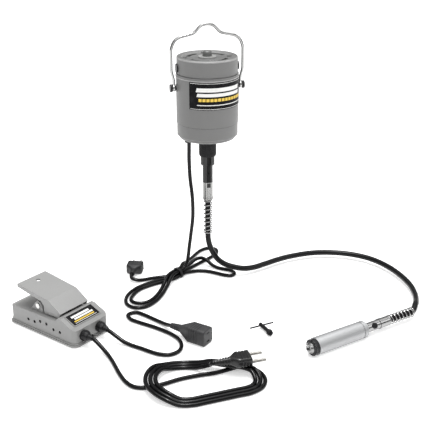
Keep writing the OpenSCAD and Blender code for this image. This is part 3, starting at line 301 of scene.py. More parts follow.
def skin(mesh, rings, closed=False):
    """Faces between neighbouring rings, with a cap on both ends unless the last joins the first."""
    pairs = list(zip(rings, rings[1:])) + ([(rings[-1], rings[0])] if closed else [])
    for a, b in pairs:
        for j in range(len(a)):
            k = (j + 1) % len(a)
            mesh.faces.new((a[j], a[k], b[k], b[j]))
    if not closed:
        mesh.faces.new(list(reversed(rings[0])))
        mesh.faces.new(rings[-1])


def add_tube(mesh, line, radius, sides, side=(0, 1, 0)):
    """A closed tube along the line; radius is one number or one for each point."""
    radii = radius if isinstance(radius, list) else [radius] * len(line)
    side = Vector(side)
    rings = []
    for i, point in enumerate(line):
        heading = (line[min(i + 1, len(line) - 1)] - line[max(i - 1, 0)]).normalized()
        side = (side - side.dot(heading) * heading).normalized()
        up = heading.cross(side)
        rings.append([mesh.verts.new(point + radii[i] * (c * side + s * up)) for c, s in circle(sides)])
    skin(mesh, rings)


def add_turned(mesh, place, profile, around=40, closed=False):
    """A shape turned about the place's x axis. The profile is (x, radius) in millimetres."""
    rings = [[mesh.verts.new(place @ Vector((x * MM, r * MM * c, r * MM * s))) for c, s in circle(around)]
             for x, r in profile]
    skin(mesh, rings, closed)


def outline(half_y, half_z, corner, steps=6):
    """A rectangle with round corners, as points across the axis."""
    corner = min(corner, half_y - 0.01, half_z - 0.01)
    points = []
    for sy, sz, start in ((1, 1, 0), (-1, 1, 90), (-1, -1, 180), (1, -1, 270)):
        for k in range(steps + 1):
            a = math.radians(start + 90 * k / steps)
            points.append((sy * (half_y - corner) + corner * math.cos(a),
                           sz * (half_z - corner) + corner * math.sin(a)))
    return points


def add_loft(mesh, place, sections):
    """A moulded body. Each section is x, half width, half height and corner in millimetres."""
    rings = [[mesh.verts.new(place @ Vector((x * MM, y * MM, z * MM)))
              for y, z in outline(hy, hz, corner)] for x, hy, hz, corner in sections]
    skin(mesh, rings)


def add_block(mesh, place, low, high):
    """A plain block between two corners in millimetres."""
    made = bmesh.ops.create_cube(mesh, size=1.0)["verts"]
    size = [(b - a) * MM for a, b in zip(low, high)]
    middle = [(a + b) / 2 * MM for a, b in zip(low, high)]
    for v in made:
        v.co = place @ Vector([c * s + m for c, s, m in zip(v.co, size, middle)])


def put(name, data):
    """A new object in the scene."""
    thing = bpy.data.objects.new(name, data)
    bpy.context.scene.collection.objects.link(thing)
    return thing


def baked(name, mesh):
    """The mesh under construction as mesh data, with every face turned outward."""
    bmesh.ops.recalc_face_normals(mesh, faces=mesh.faces[:])
    data = bpy.data.meshes.new(name)
    mesh.to_mesh(data)
    mesh.free()
    return data


def make(name, mesh, look, body="tool", replaces=(), sharp=SHARP):
    """Turns the mesh into a named piece that rides on a body."""
    data = baked(name, mesh)
    data.polygons.foreach_set("use_smooth", [True] * len(data.polygons))
    data.set_sharp_from_angle(angle=math.radians(sharp))
    return ready(put(name, data), look, body, replaces)


def ready(piece, look, body, replaces):
    """Gives a piece its finish, its body and the nodes that it stands for."""
    piece.data.materials.append(finish(look))
    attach(piece, body)
    if replaces:
        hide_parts(*replaces)
    return piece


def carve(piece, cutters):
    """Cuts blocks out of a piece. Each cutter is place, low corner and high corner in millimetres."""
    mesh = bmesh.new()
    for place, low, high in cutters:
        add_block(mesh, place, low, high)
    data = baked("cutter", mesh)
    tool = put("cutter", data)
    cut = piece.modifiers.new("cut", "BOOLEAN")
    cut.operation, cut.solver, cut.object = "DIFFERENCE", "EXACT", tool
    bpy.context.view_layer.update()
    shown = piece.evaluated_get(bpy.context.evaluated_depsgraph_get())
    result = bpy.data.meshes.new_from_object(shown)
    piece.modifiers.remove(cut)
    old = piece.data
    piece.data = result
    bpy.data.meshes.remove(old)
    bpy.data.objects.remove(tool)
    bpy.data.meshes.remove(data)
    result.set_sharp_from_angle(angle=math.radians(SHARP))


def lead(name, line, thickness, look, replaces):
    """A round lead on one smooth line, whose length is worked out and not used."""
    data = bpy.data.curves.new(name, "CURVE")
    data.dimensions = "3D"
    data.bevel_depth = thickness / 2
    data.bevel_resolution = 5
    data.use_fill_caps = True
    spline = data.splines.new("POLY")
    spline.points.add(len(line) - 1)
    for point, place in zip(spline.points, line):
        point.co = (*place, 1.0)
    spline.use_smooth = True
    piece = ready(put(name, data), look, "tool", replaces)
    length_of(line)


def grooves(starts, slope, wide, full, sunk):
    """Sections of grooves across a moulded body, from the places where each begins to sink."""
    sections = []
    for x in starts:
        sections += [(x, *full), (x + slope, *sunk), (x + slope + wide, *sunk), (x + 2 * slope + wide, *full)]
    return sections


def ribbed(start, end, first, last, ribs, depth):
    """Profile of a ribbed boot that tapers from its first radius to its last, in millimetres."""
    profile, pitch = [], (end - start) / ribs
    for i in range(ribs):
        for share, drop in ((0.0, 1.0), (0.08, 0.25), (0.16, 0.0), (0.56, 0.0), (0.64, 0.25), (0.72, 1.0)):
            x = start + pitch * (i + share)
            radius = first + (last - first) * (x - start) / (end - start)
            profile.append((x, radius - depth * drop))
    return profile + [(end, last - depth * 0.6)]


# ---------- Shader maths ----------


class Term:
    """One output of a finish's nodes, so that maths on values reads as plain arithmetic."""

    def __init__(self, finish, socket):
        self.finish = finish
        self.socket = socket

    def __add__(self, other):
        return self.finish.math("ADD", self, other)

    def __radd__(self, other):
        return self.finish.math("ADD", other, self)

    def __sub__(self, other):
        return self.finish.math("SUBTRACT", self, other)

    def __rsub__(self, other):
        return self.finish.math("SUBTRACT", other, self)

    def __mul__(self, other):
        return self.finish.math("MULTIPLY", self, other)

    def __rmul__(self, other):
        return self.finish.math("MULTIPLY", other, self)

    def __truediv__(self, other):
        return self.finish.math("DIVIDE", self, other)

    def __rtruediv__(self, other):
        return self.finish.math("DIVIDE", other, self)

    def sine(self):
        return self.finish.math("SINE", self)

    def share(self):
        """The part after the point."""
        return self.finish.math("FRACT", self)

    def above(self, edge):
        return self.finish.math("GREATER_THAN", self, edge)

    def below(self, edge):
        return self.finish.math("LESS_THAN", self, edge)

    def between(self, low, high):
        return self.above(low) * self.below(high)

    def held(self):
        """Kept between 0 and 1."""
        return self.finish.node("ShaderNodeClamp", {"Value": self, "Min": 0.0, "Max": 1.0})


class Finish:
    """A material under construction."""

    def __init__(self, name, **constants):
        self.material = bpy.data.materials.new(name)
        self.material.use_nodes = True
        self.nodes = self.material.node_tree.nodes
        self.links = self.material.node_tree.links
        self.shader = self.nodes["Principled BSDF"]
        # Where a point lies on the tool, in metres
        self.place = self.node("ShaderNodeTexCoord", {}, "Object")
        for socket, value in constants.items():
            self.feed(self.shader.inputs[socket.replace("_", " ")], value)

    def feed(self, socket, value):
        if isinstance(value, Term):
            self.links.new(value.socket, socket)
        else:
            socket.default_value = value

    def node(self, kind, inputs, output=0, **settings):
        """One output of a new node: its type, the values or links of its sockets, and its settings."""
        item = self.nodes.new(kind)
        for key, value in settings.items():
            setattr(item, key, value)
        for key, value in inputs.items():
            self.feed(item.inputs[key], value)
        return Term(self, item.outputs[output])

    def math(self, operation, *values):
        return self.node("ShaderNodeMath", dict(enumerate(values)), operation=operation)

    def mix(self, share, first, second):
        """A colour between two."""
        return self.node("ShaderNodeMix", {0: share, 6: first, 7: second}, 2, data_type="RGBA")

    def seen_from(self, frame_of):
        """Where a point lies in a piece's own frame, in metres."""
        return self.node(
            "ShaderNodeMapping",
            {"Vector": self.place, "Location": frame_of.to_translation(), "Rotation": frame_of.to_euler()},
            vector_type="TEXTURE")

    def parts(self, vector):
        """A vector's x, y and z."""
        x = self.node("ShaderNodeSeparateXYZ", {"Vector": vector})
        return [Term(self, output) for output in x.socket.node.outputs]

    def stretched(self, vector, x, y, z):
        return self.node("ShaderNodeVectorMath", {0: vector, 1: (x, y, z)}, operation="MULTIPLY")

    def noise(self, scale, detail=3.0, roughness=0.5, vector=None):
        inputs = {"Vector": vector or self.place, "Scale": scale, "Detail": detail, "Roughness": roughness}
        return self.node("ShaderNodeTexNoise", inputs)

    def rounding(self, radius):
        """The surface direction with sharp edges eased."""
        return self.node("ShaderNodeBevel", {"Radius": radius}, samples=6)

    def edges(self, rounding, strength):
        """1 along sharp edges and 0 on flat faces."""
        flat = self.node("ShaderNodeNewGeometry", {}, "Normal")
        likeness = self.node("ShaderNodeVectorMath", {0: rounding, 1: flat}, "Value", operation="DOT_PRODUCT")
        return ((1 - likeness) * strength).held()

    def bump(self, height, distance, strength, normal=None):
        inputs = {"Height": height, "Distance": distance, "Strength": strength}
        if normal is not None:
            inputs["Normal"] = normal
        self.feed(self.shader.inputs["Normal"], self.node("ShaderNodeBump", inputs))

    def surface(self, colour, roughness, metallic=None):
        self.feed(self.shader.inputs["Base Color"], colour)
        self.feed(self.shader.inputs["Roughness"], roughness)
        if metallic:
            self.feed(self.shader.inputs["Metallic"], metallic)


def grey(level):
    """A colour of one level."""
    return (level, level, level, 1.0)


def tint(red, green, blue):
    """A colour that covers fully."""
    return (red, green, blue, 1.0)


def shade(colour, amount):
    """A colour made lighter or darker."""
    return tint(*[min(1.0, c * amount) for c in colour[:3]])


# Levels of the motor case's dark seam lines, their width, and the levels of its rim bands, which carry a
# painted highlight
CASE_SEAMS, SEAM = (-0.072, -0.150, -0.171), 0.001
CASE_HIGHLIT_RIMS = ((-0.0485, -0.0462), (-0.0771, -0.0755))
# Boxes in the pedal's frame that get painted shade, as (from, to) along x, y and z: the casing's inside, and
# its vent holes
CASING_INSIDE = ((0.0027, 0.1353), (0.0027, 0.0673), (0.0039, 0.024))
CASING_VENTS = ((0.030, 0.118), (0.0004, 0.0696), (0.012, 0.0255))


def within(point, box):
    """1 inside the box and 0 outside."""
    x, y, z = (part.between(*span) for part, span in zip(point, box))
    return x * y * z


def enamel(name, colour, seams=(), highlit_rims=(), casing=None):
    """Sprayed satin paint: fine orange peel, soft mottling, dark seam lines, edges lightened partly as wear
    and partly as painted highlight, and painted highlight bands round each rim.

    A casing, given by its frame, gets painted shade inside and in its vent holes."""
    f = Finish(name, Coat_Weight=0.12, Coat_Roughness=0.25)
    peel = f.noise(900.0, 2.0)
    cloud = f.noise(14.0, 4.0)
    speck = f.noise(2600.0, 1.0)
    eased = f.rounding(sizes().edge_softness)
    worn = f.edges(eased, 5.0) * (0.45 + 0.55 * f.noise(160.0))
    tone = f.mix(cloud, shade(colour, 0.93), shade(colour, 1.06))
    tone = f.mix((speck - 0.5) * 0.5 + 0.2, tone, shade(colour, 0.86))
    if seams or highlit_rims:
        height = f.parts(f.place)[2]
    for level in seams:
        tone = f.mix(height.between(level - SEAM / 2, level + SEAM / 2) * 0.75, tone, shade(colour, 0.3))
    # Painted highlight: each band round a rim is made much lighter, where the edge would catch the light.
    for low, high in highlit_rims:
        highlight_band = height.between(low, high) * (0.35 + 0.65 * f.noise(70.0))
        tone = f.mix(highlight_band * 0.85, tone, shade(colour, 2.9))
    # Edges made lighter: partly worn paint, partly a painted highlight along the edges.
    tone = f.mix(worn * 0.55, tone, shade(colour, 2.2))
    # Painted shade: the casing's inside and its vent holes are darkened almost to black.
    if casing:
        point = f.parts(f.seen_from(casing))
        dark = (within(point, CASING_INSIDE) + within(point, CASING_VENTS)).held()
        tone = f.mix(dark * 0.95, tone, grey(0.004))
    f.surface(tone, 0.40 + cloud * 0.12 - worn * 0.08)
    f.bump(peel, 0.00006, 0.5, eased)
    return f.material


# The sight slot in the shaft's ferrule, where shade is painted: half its width, and its levels
SLOT_HALF, SLOT_LEVELS = 0.0031, (-0.2602, -0.2528)


def turned_metal(name, colour, frame_of, roughness, dark=0.8, tarnish=0.25, axis="x", slot=(), bore=0.0):
    """Lathe-turned metal: fine rings round its own axis and faint stains.

    Where given, a slot gets painted shade between two levels and a bore gets painted shade out to its radius."""
    f = Finish(name, Metallic=1.0)
    own = f.seen_from(frame_of)
    squeeze = (5200.0, 18.0, 18.0) if axis == "x" else (18.0, 18.0, 5200.0)
    rings = f.noise(1.0, 2.0, vector=f.stretched(own, *squeeze))
    stain = f.noise(55.0, 5.0, 0.6, vector=own)
    smear = f.noise(420.0, 3.0, vector=own)
    tone = f.mix(rings, shade(colour, dark), colour)
    tone = f.mix(stain * tarnish, tone, shade(colour, 0.62))
    if slot or bore:
        x, y, z = f.parts(own)
    # Painted shade: the slot is darkened almost to black.
    if slot:
        slot_shade = x.between(-SLOT_HALF, SLOT_HALF) * y.below(0.0) * z.between(*slot)
        tone = f.mix(slot_shade, tone, shade(colour, 0.1))
    # Painted shade: the bore is darkened almost to black.
    if bore:
        tone = f.mix((y * y + z * z).below(bore * bore) * 0.95, tone, shade(colour, 0.04))
    f.surface(tone, roughness + rings * 0.10 + (smear - 0.5) * 0.12)
    f.bump(rings, 0.00003, 0.5, f.rounding(0.0003))
    return f.material


def drawn_wire(name, colour, roughness=0.12):
    """Bright plated wire with a few dull spots."""
    f = Finish(name, Metallic=1.0)
    spots = f.noise(240.0, 4.0, 0.6)
    cloud = f.noise(38.0, 2.0)
    f.surface(f.mix(spots * 0.6, colour, shade(colour, 0.72)), roughness + spots * 0.12 + cloud * 0.05)
    f.bump(f.noise(1500.0, 2.0), 0.00002, 0.35)
    return f.material


def blackened(name, colour, roughness, wear, slot=0.0):
    """Black oxide on steel, worn bright along the edges; where given, a slot band gets painted shade."""
    f = Finish(name, Specular_IOR_Level=0.2)
    grain = f.noise(1400.0, 3.0)
    cloud = f.noise(70.0, 4.0)
    eased = f.rounding(0.0004)
    worn = (f.edges(eased, 6.0) * (f.noise(260.0) * 1.6 - 0.2) * wear).held()
    tone = f.mix(cloud, shade(colour, 0.75), shade(colour, 1.35))
    # Painted shade: a band on the front, where the sleeve's slot is, is darkened almost to black.
    if slot:
        x, y, z = f.parts(f.place)
        tone = f.mix(x.between(-slot, slot) * y.below(0.0) * 0.92, tone, grey(0.001))
    f.surface(f.mix(worn, tone, grey(0.42)), roughness + grain * 0.12 - worn * 0.1, 0.25 + worn * 0.7)
    f.bump(grain, 0.00004, 0.5, eased)
    return f.material


def jacket(name, colour, roughness=0.15):
    """Extruded lead jacket: smooth, with faint chatter, dust and handling marks."""
    f = Finish(name, Specular_IOR_Level=0.2)
    dust = f.noise(120.0, 5.0, 0.65)
    cloud = f.noise(18.0, 2.0)
    chatter = f.noise(420.0, 1.0)
    tone = f.mix(cloud, shade(colour, 0.7), shade(colour, 1.3))
    f.surface(f.mix((dust * 1.5 - 0.6).held() * 0.3, tone, shade(colour, 2.6)), roughness + dust * 0.07)
    f.bump(chatter, 0.00004, 0.12)
    return f.material


def moulded(name, colour, roughness, grain=1900.0, softness=0.0005, gloss=0.3):
    """Moulded plastic or rubber: spark-eroded skin, with edges a little worn."""
    f = Finish(name, Specular_IOR_Level=gloss)
    skin_noise = f.noise(grain, 2.0)
    cloud = f.noise(45.0, 4.0)
    eased = f.rounding(softness)
    rub = f.edges(eased, 4.0)
    tone = f.mix(cloud, shade(colour, 0.8), shade(colour, 1.25))
    f.surface(f.mix(rub * 0.35, tone, shade(colour, 2.6)), roughness + skin_noise * 0.12 - rub * 0.08)
    f.bump(skin_noise, 0.00007, 0.55, eased)
    return f.material


def laminations(name):
    """Stacked core sheets with varnish between them."""
    f = Finish(name, Metallic=0.7)
    z = f.parts(f.place)[2]
    sheet = (z * 1400.0).share()
    gap = (sheet - 0.72).above(0.0)
    rust = f.noise(90.0, 5.0, 0.6)
    tone = f.mix(rust, tint(0.3, 0.29, 0.27), tint(0.2, 0.15, 0.11))
    f.surface(f.mix(gap, tone, tint(0.05, 0.03, 0.02)), 0.45 + rust * 0.2)
    f.bump(1 - gap, 0.0002, 0.6)
    return f.material


def wound_copper(name):
    """Close turns of varnished magnet wire."""
    f = Finish(name, Metallic=0.85, Coat_Weight=0.3)
    x, y, z = f.parts(f.place)
    turns = ((x + z * 0.08) * 6200.0).sine() * 0.5 + 0.5
    varnish = f.noise(130.0, 3.0)
    tone = f.mix(varnish, tint(0.62, 0.26, 0.1), tint(0.42, 0.15, 0.05))
    f.surface(f.mix(turns * 0.6, shade((0.5, 0.2, 0.07), 0.4), tone), 0.3 + varnish * 0.15)
    f.bump(turns, 0.0002, 0.7)
    return f.material


def carbon_block(name):
    """Pressed carbon with bright flecks."""
    f = Finish(name)
    fleck = (f.noise(2400.0, 2.0) - 0.62).above(0.0)
    grime = f.noise(300.0, 4.0)
    tone = f.mix(grime, grey(0.012), tint(0.035, 0.034, 0.033))
    f.surface(f.mix(fleck, tone, grey(0.16)), 0.62 - fleck * 0.2)
    f.bump(grime, 0.00008, 0.5)
    return f.material


def circuit_board(name):
    """The speed control's board: lacquered green with tinned tracks."""
    f = Finish(name)
    own = f.seen_from(PEDAL)
    x, y, z = f.parts(own)
    tracks = ((x * 1100.0).share().between(0.3, 0.52) * (y * 420.0).sine().above(-0.3)
              + (y * 900.0).share().between(0.4, 0.55) * (x * 500.0).sine().above(0.4)).held()
    cloud = f.noise(110.0, 3.0, vector=own)
    lacquer = f.mix(cloud, tint(0.012, 0.075, 0.035), tint(0.02, 0.1, 0.05))
    f.surface(f.mix(tracks, lacquer, tint(0.42, 0.43, 0.42)), 0.42 + cloud * 0.1 - tracks * 0.1, tracks * 0.9)
    f.bump(tracks, 0.0001, 0.6)
    return f.material


# The upper corner of the pedal's name plate, with x running down the slope
PLATE = PEDAL @ Matrix.Translation((0.110, 0.011, 0.0385)) @ Matrix.Rotation(math.atan2(8.5, 21), 4, "Y")


def printed_plates(name):
    """Black name plates with plain stripes: one wrapped round the motor, one on the pedal's slope."""
    f = Finish(name, Specular_IOR_Level=0.08)
    x, y, z = f.parts(f.place)
    # On the motor: degrees round the case, and heights in millimetres
    turn = f.math("ARCTAN2", y, x) * (180 / math.pi)
    level = z / MM
    lean = turn - level * 0.35
    pale = (level.between(-92.2, -86.0) * lean.between(-92.0, -2.0) * turn.below(-24.0)
            + level.between(-99.6, -94.4) * lean.between(-88.0, 2.0) * turn.below(-24.0)
            + level.between(-113.2, -111.9) * turn.between(-122.0, -24.0)
            + level.between(-79.6, -79.0) * turn.between(-135.0, -21.0)
            + level.between(-119.0, -118.4) * turn.between(-135.0, -21.0)).held()
    dash = (turn / 7.0).share().below(0.80)
    gold = level.between(-107.0, -102.4) * turn.between(-120.0, -24.0) * dash
    # On the pedal: millimetres down its slope and across it
    down, across = (part / MM for part in f.parts(f.seen_from(PLATE))[:2])
    on_pedal = z.below(-0.3)
    bar = (across.between(5.0, 40.0) * down.between(4.6, 8.2)
           + across.between(7.5, 44.0) * down.between(9.4, 12.4)
           + across.between(3.0, 45.5) * down.between(18.0, 18.7)).held()
    band = across.between(4.0, 43.0) * down.between(13.8, 16.4) * (across / 2.6).share().below(0.82)
    pale = pale * (1 - on_pedal) + bar * on_pedal
    gold = gold * (1 - on_pedal) + band * on_pedal
    scuff = f.noise(150.0, 5.0, 0.65)
    ground = f.mix(scuff, tint(0.002, 0.002, 0.0025), tint(0.009, 0.009, 0.01))
    tone = f.mix(gold, f.mix(pale, ground, colours().stripe_pale), colours().stripe_gold)
    f.surface(f.mix((scuff * 1.6 - 0.8).held() * 0.3, tone, grey(0.12)),
              0.34 + scuff * 0.14 + (pale + gold) * 0.08)
    f.bump(pale + gold, 0.00004, 0.6)
    return f.material


def bench_top(name):
    """A plain pale bench that glows a little, so that shadows on it stay faint."""
    f = Finish(name, Emission_Color=grey(1.0), Emission_Strength=BENCH_GLOW)
    cloud = f.noise(3.0, 2.0)
    f.surface(f.mix(cloud, grey(0.93), grey(0.96)), 0.7 + cloud * 0.1)
    return f.material


def recipes():
    """How each finish is made: its maker, then what the maker is given after the name."""
    chosen = colours()
    motor = Matrix.Identity(4)
    upright = partial(turned_metal, axis="z")
    return {
        "motor enamel": (enamel, chosen.motor_enamel, CASE_SEAMS, CASE_HIGHLIT_RIMS),
        "pedal enamel": (enamel, chosen.pedal_enamel),
        # Painted shade: the casing takes the treadle's enamel made darker, for its less lit sides.
        "pedal casing": (partial(enamel, casing=PEDAL), shade(chosen.pedal_enamel, 0.88)),
        "spring steel": (drawn_wire, shade(chosen.spring_steel, 0.72)),
        "bail wire": (drawn_wire, shade(chosen.spring_steel, 0.85), 0.07),
        "ferrule metal": (partial(upright, slot=SLOT_LEVELS), tint(0.34, 0.34, 0.335), motor, 0.14),
        "shaft steel": (upright, grey(0.62), motor, 0.26),
        "handle metal": (turned_metal, chosen.handle_silver, HAND, 0.50, 0.90, 0.12),
        "neck metal": (turned_metal, grey(0.38), HAND, 0.18),
        "chuck steel": (partial(turned_metal, bore=0.0026), grey(0.34), HAND, 0.22, 0.8, 0.6),
        "pin steel": (turned_metal, tint(0.66, 0.66, 0.65), PEDAL, 0.24),
        "screw steel": (drawn_wire, grey(0.5), 0.30),
        "contact metal": (drawn_wire, tint(0.34, 0.33, 0.31), 0.18),
        "knurled black": (blackened, tint(0.013, 0.013, 0.014), 0.40, 0.25),
        "sleeve black": (blackened, tint(0.05, 0.05, 0.051), 0.34, 0.2, 0.0034),
        "geared black": (blackened, tint(0.022, 0.022, 0.024), 0.30, 1.0),
        "key black": (blackened, tint(0.01, 0.01, 0.011), 0.42, 0.15),
        "lead jacket": (jacket, chosen.lead_black),
        "shaft sheath": (jacket, shade(chosen.lead_black, 1.3), 0.26),
        "plug moulding": (moulded, shade(chosen.plug_grey, 0.75), 0.42),
        "socket moulding": (moulded, shade(chosen.plug_grey, 1.5), 0.42),
        "mains plug moulding": (partial(moulded, gloss=0.4), shade(chosen.plug_grey, 0.4), 0.20),
        "black moulding": (moulded, tint(0.009, 0.009, 0.01), 0.26),
        "black rubber": (moulded, grey(0.022), 0.60, 900.0),
        "tie strap": (moulded, tint(0.014, 0.014, 0.015), 0.36, 1200.0, 0.0003),
        "fan moulding": (moulded, tint(0.06, 0.06, 0.065), 0.48),
        "core sheets": (laminations,),
        "magnet wire": (wound_copper,),
        "brass": (drawn_wire, tint(0.72, 0.52, 0.22), 0.28),
        "carbon": (carbon_block,),
        "control board": (circuit_board,),
        "name plates": (printed_plates,),
        "bench": (bench_top,),
    }


@cache
def finish(name):
    """Each finish is made once, when a piece first asks for it."""
    maker, *values = recipes()[name]
    return maker(name, *values)


def dress(finish_name, *nodes):
    """Gives carried-over pieces their finish."""
    for node in nodes:
        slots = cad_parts[node].data.materials
        slots.clear()
        slots.append(finish(finish_name))


# ---------- Stage ----------

# What the lights look at
MIDDLE = Vector((-0.02, -0.1, -0.25))


def aimed(name, data, place, heading):
    """A camera or light at a place, looking along a heading."""
    thing = put(name, data)
    thing.location = place
    thing.rotation_euler = Vector(heading).to_track_quat("-Z", "Y").to_euler()
    return thing


class SCENE_OT_flex_shaft_stage(Operator):
    """Set up the camera, the pale bench and the soft lights"""

    bl_idname = "scene.flex_shaft_stage"
    bl_label = "Stage"

    def execute(self, context):
        scene = context.scene
        data = bpy.data.cameras.new("camera")
        data.lens, data.sensor_width = 71.2, 36.0
        data.clip_start, data.clip_end = 0.05, 50.0
        scene.camera = aimed("camera", data, (-0.3053, -1.2905, 0.220), (0.2243, 0.8996, -0.3746))

        mesh = bmesh.new()
        bmesh.ops.create_grid(mesh, x_segments=2, y_segments=2, size=9.0)
        for v in mesh.verts:
            v.co += Vector((0.0, 4.0, BENCH))
        floor = bpy.data.meshes.new("bench")
        mesh.to_mesh(floor)
        mesh.free()
        floor.materials.append(finish("bench"))
        bench = put("bench", floor)

        for name, place, size, power in (
                ("key light", (-0.5, -1.5, 1.1), 0.8, 6.0),
                ("fill light", (1.5, -0.9, 0.7), 0.7, 3.5),
                ("top light", (0.0, 0.1, 1.4), 0.7, 12.0),
                ("glint light", (-0.1, -0.25, 1.5), 0.22, 15.0)):
            lamp = bpy.data.lights.new(name, "AREA")
            lamp.shape, lamp.size, lamp.energy = "SQUARE", size, power
            light = aimed(name, lamp, place, MIDDLE - Vector(place))
            light.visible_diffuse = name != "glint light"
        lamp = bpy.data.lights.new("soft daylight", "SUN")
        lamp.energy, lamp.angle = 1.6, math.radians(60)
        aimed("soft daylight", lamp, (0, 0, 0), (-0.12, -0.12, -0.98))

        world = bpy.data.worlds.new("studio")
        world.use_nodes = True
        nodes, links = world.node_tree.nodes, world.node_tree.links
        towards = nodes.new("ShaderNodeTexCoord")
        height = nodes.new("ShaderNodeSeparateXYZ")
        tent = nodes.new("ShaderNodeValToRGB")
        for element, (place, level) in zip(tent.color_ramp.elements, ((0.05, 0.16), (0.8, 1.0))):
            element.position, element.color = place, grey(level)
        backdrop = nodes["Background"]
        backdrop.inputs["Strength"].default_value = 0.70
        links.new(towards.outputs["Generated"], height.inputs["Vector"])
        links.new(height.outputs["Z"], tent.inputs["Fac"])
        links.new(tent.outputs["Color"], backdrop.inputs["Color"])
        scene.world = world
        scene.view_settings.view_transform = "Standard"
        return {"FINISHED"}


# ---------- Leads ----------

# Centres of the strands under the tie, in millimetres across it and above the bench
TIED_STRANDS = ((-6.9, 4.4), (-3.4, 10.7), (-0.3, 4.4), (3.15, 10.9), (6.5, 4.5))
BOOT_START, BOOT_ROOT, BOOT_RIBS, BOOT_GROOVE = 0.0015, 0.0052, 4.0, 0.0007


def band(strands, radius, steps=48):
    """The outline of a band drawn tight round strands, with their centres across the band's axis."""
    points = []
    for c, s in circle(steps):
        y, z = max(strands, key=lambda strand: strand[0] * c + strand[1] * s)
        points.append((y + radius * c, z + radius * s))
    return points


def gland_boot(name, line):
    """The ribbed rubber boot that a lead leaves its gland through."""
    core = stretch(line, BOOT_START, BOOT_START + sizes().boot_length, 0.0003)
    taper = BOOT_ROOT - (sizes().lead_thickness / 2 + 0.0004)
    radii = []
    for i in range(len(core)):
        share = i / (len(core) - 1)
        wave = (share * BOOT_RIBS) % 1.0
        groove = ease((wave - 0.58) / 0.12) * ease((1.0 - wave) / 0.12)
        radii.append(BOOT_ROOT - taper * share ** 0.8 - BOOT_GROOVE * groove * (1 - 0.4 * share))
    mesh = bmesh.new()
    add_tube(mesh, core, radii, 28, (0, 0, 1))
    make(name, mesh, "black moulding")


class OBJECT_OT_flex_shaft_motor_lead(Operator):
    """Make the motor's lead with its hank, tie and two-blade plug"""

    bl_idname = "object.flex_shaft_motor_lead"
    bl_label = "Motor lead"

    def execute(self, context):
        mesh = bmesh.new()
        add_turned(mesh, MOTOR_PLUG, ribbed(-6.0, 9.0, 4.3, 5.9, 5, 0.9))
        add_loft(mesh, MOTOR_PLUG, (
            (6, 5.2, 5.2, 5.0), (8, 6.4, 6.1, 4.6), (10.5, 9.4, 7.3, 4.2), (12.6, 12.4, 8.2, 3.6),
            (14.2, 13.5, 8.5, 3.4),
            *grooves((17, 20.9, 24.8), 0.7, 1.1, (13.5, 8.5, 3.4), (12.7, 7.8, 3.2))[:-1],
            (27.3, 13.5, 8.5, 3.2), (30, 13.5, 8.5, 3.2), (30.7, 13.2, 8.2, 3.0), (31, 12.6, 7.6, 2.8)))
        plug = make("motor_plug_body", mesh, "plug moulding", replaces=["motor_plug"])

        mesh = bmesh.new()
        rings = []
        for x, out in ((-2.5, 4.15), (-2.1, 4.35), (2.1, 4.35), (2.5, 4.15), (2.5, 3.35), (-2.5, 3.35)):
            rings.append([mesh.verts.new(TIE @ Vector((x * MM, y * MM, z * MM)))
                          for y, z in band(TIED_STRANDS, out)])
        skin(mesh, rings, closed=True)
        for turn, low in ((24, 15.3), (-18, 15.6)):
            tail = TIE @ placed(0, 0, low * MM, turn)
            add_loft(mesh, tail, ((-4.2, 1.0, 0.30, 0.29), (-3.8, 1.3, 0.5, 0.4),
                                  (3.8, 1.3, 0.5, 0.4), (4.2, 1.0, 0.30, 0.29)))
        tie = make("hank_tie", mesh, "tie strap", replaces=["cord_tie"])

        lead("motor_lead", smooth_line(laid(MOTOR_LEAD), 6), sizes().lead_thickness, "lead jacket",
             ["motor_cord", "motor_hank"])
        return {"FINISHED"}


class OBJECT_OT_flex_shaft_socket_lead(Operator):
    """Make the pedal's short lead, its gland boot and the two-slot socket"""

    bl_idname = "object.flex_shaft_socket_lead"
    bl_label = "Socket lead"

    def execute(self, context):
        mesh = bmesh.new()
        add_turned(mesh, SOCKET, ribbed(-10.0, 10.0, 4.2, 6.2, 6, 1.0))
        add_loft(mesh, SOCKET, (
            (8, 6.0, 6.0, 5.4), (9.4, 6.4, 6.4, 5.2), (24, 11.9, 11.9, 4.6), (26, 12.5, 12.5, 4.5),
            *grooves((29, 33, 37, 41), 0.6, 1.2, (12.5, 12.5, 4.5), (11.7, 11.7, 4.2)),
            (53.4, 12.5, 12.5, 4.5), (54.5, 12.1, 12.1, 4.2), (55, 11.5, 11.5, 4)))
        socket = make("lead_socket_body", mesh, "socket moulding", replaces=["lead_socket"])
        # The slots for the motor plug's two blades
        carve(socket, [(SOCKET, (37, -3.4, z - 1.0), (59, 3.4, z + 1.0)) for z in (-6.35, 6.35)])
        line = smooth_line(out_of_gland(0.049) + laid(SOCKET_LEAD) + along(SOCKET, -6, 0), 6)
        gland_boot("socket_lead_boot", line)
        lead("socket_lead_run", line, sizes().lead_thickness, "lead jacket",
             ["socket_lead"])
        return {"FINISHED"}


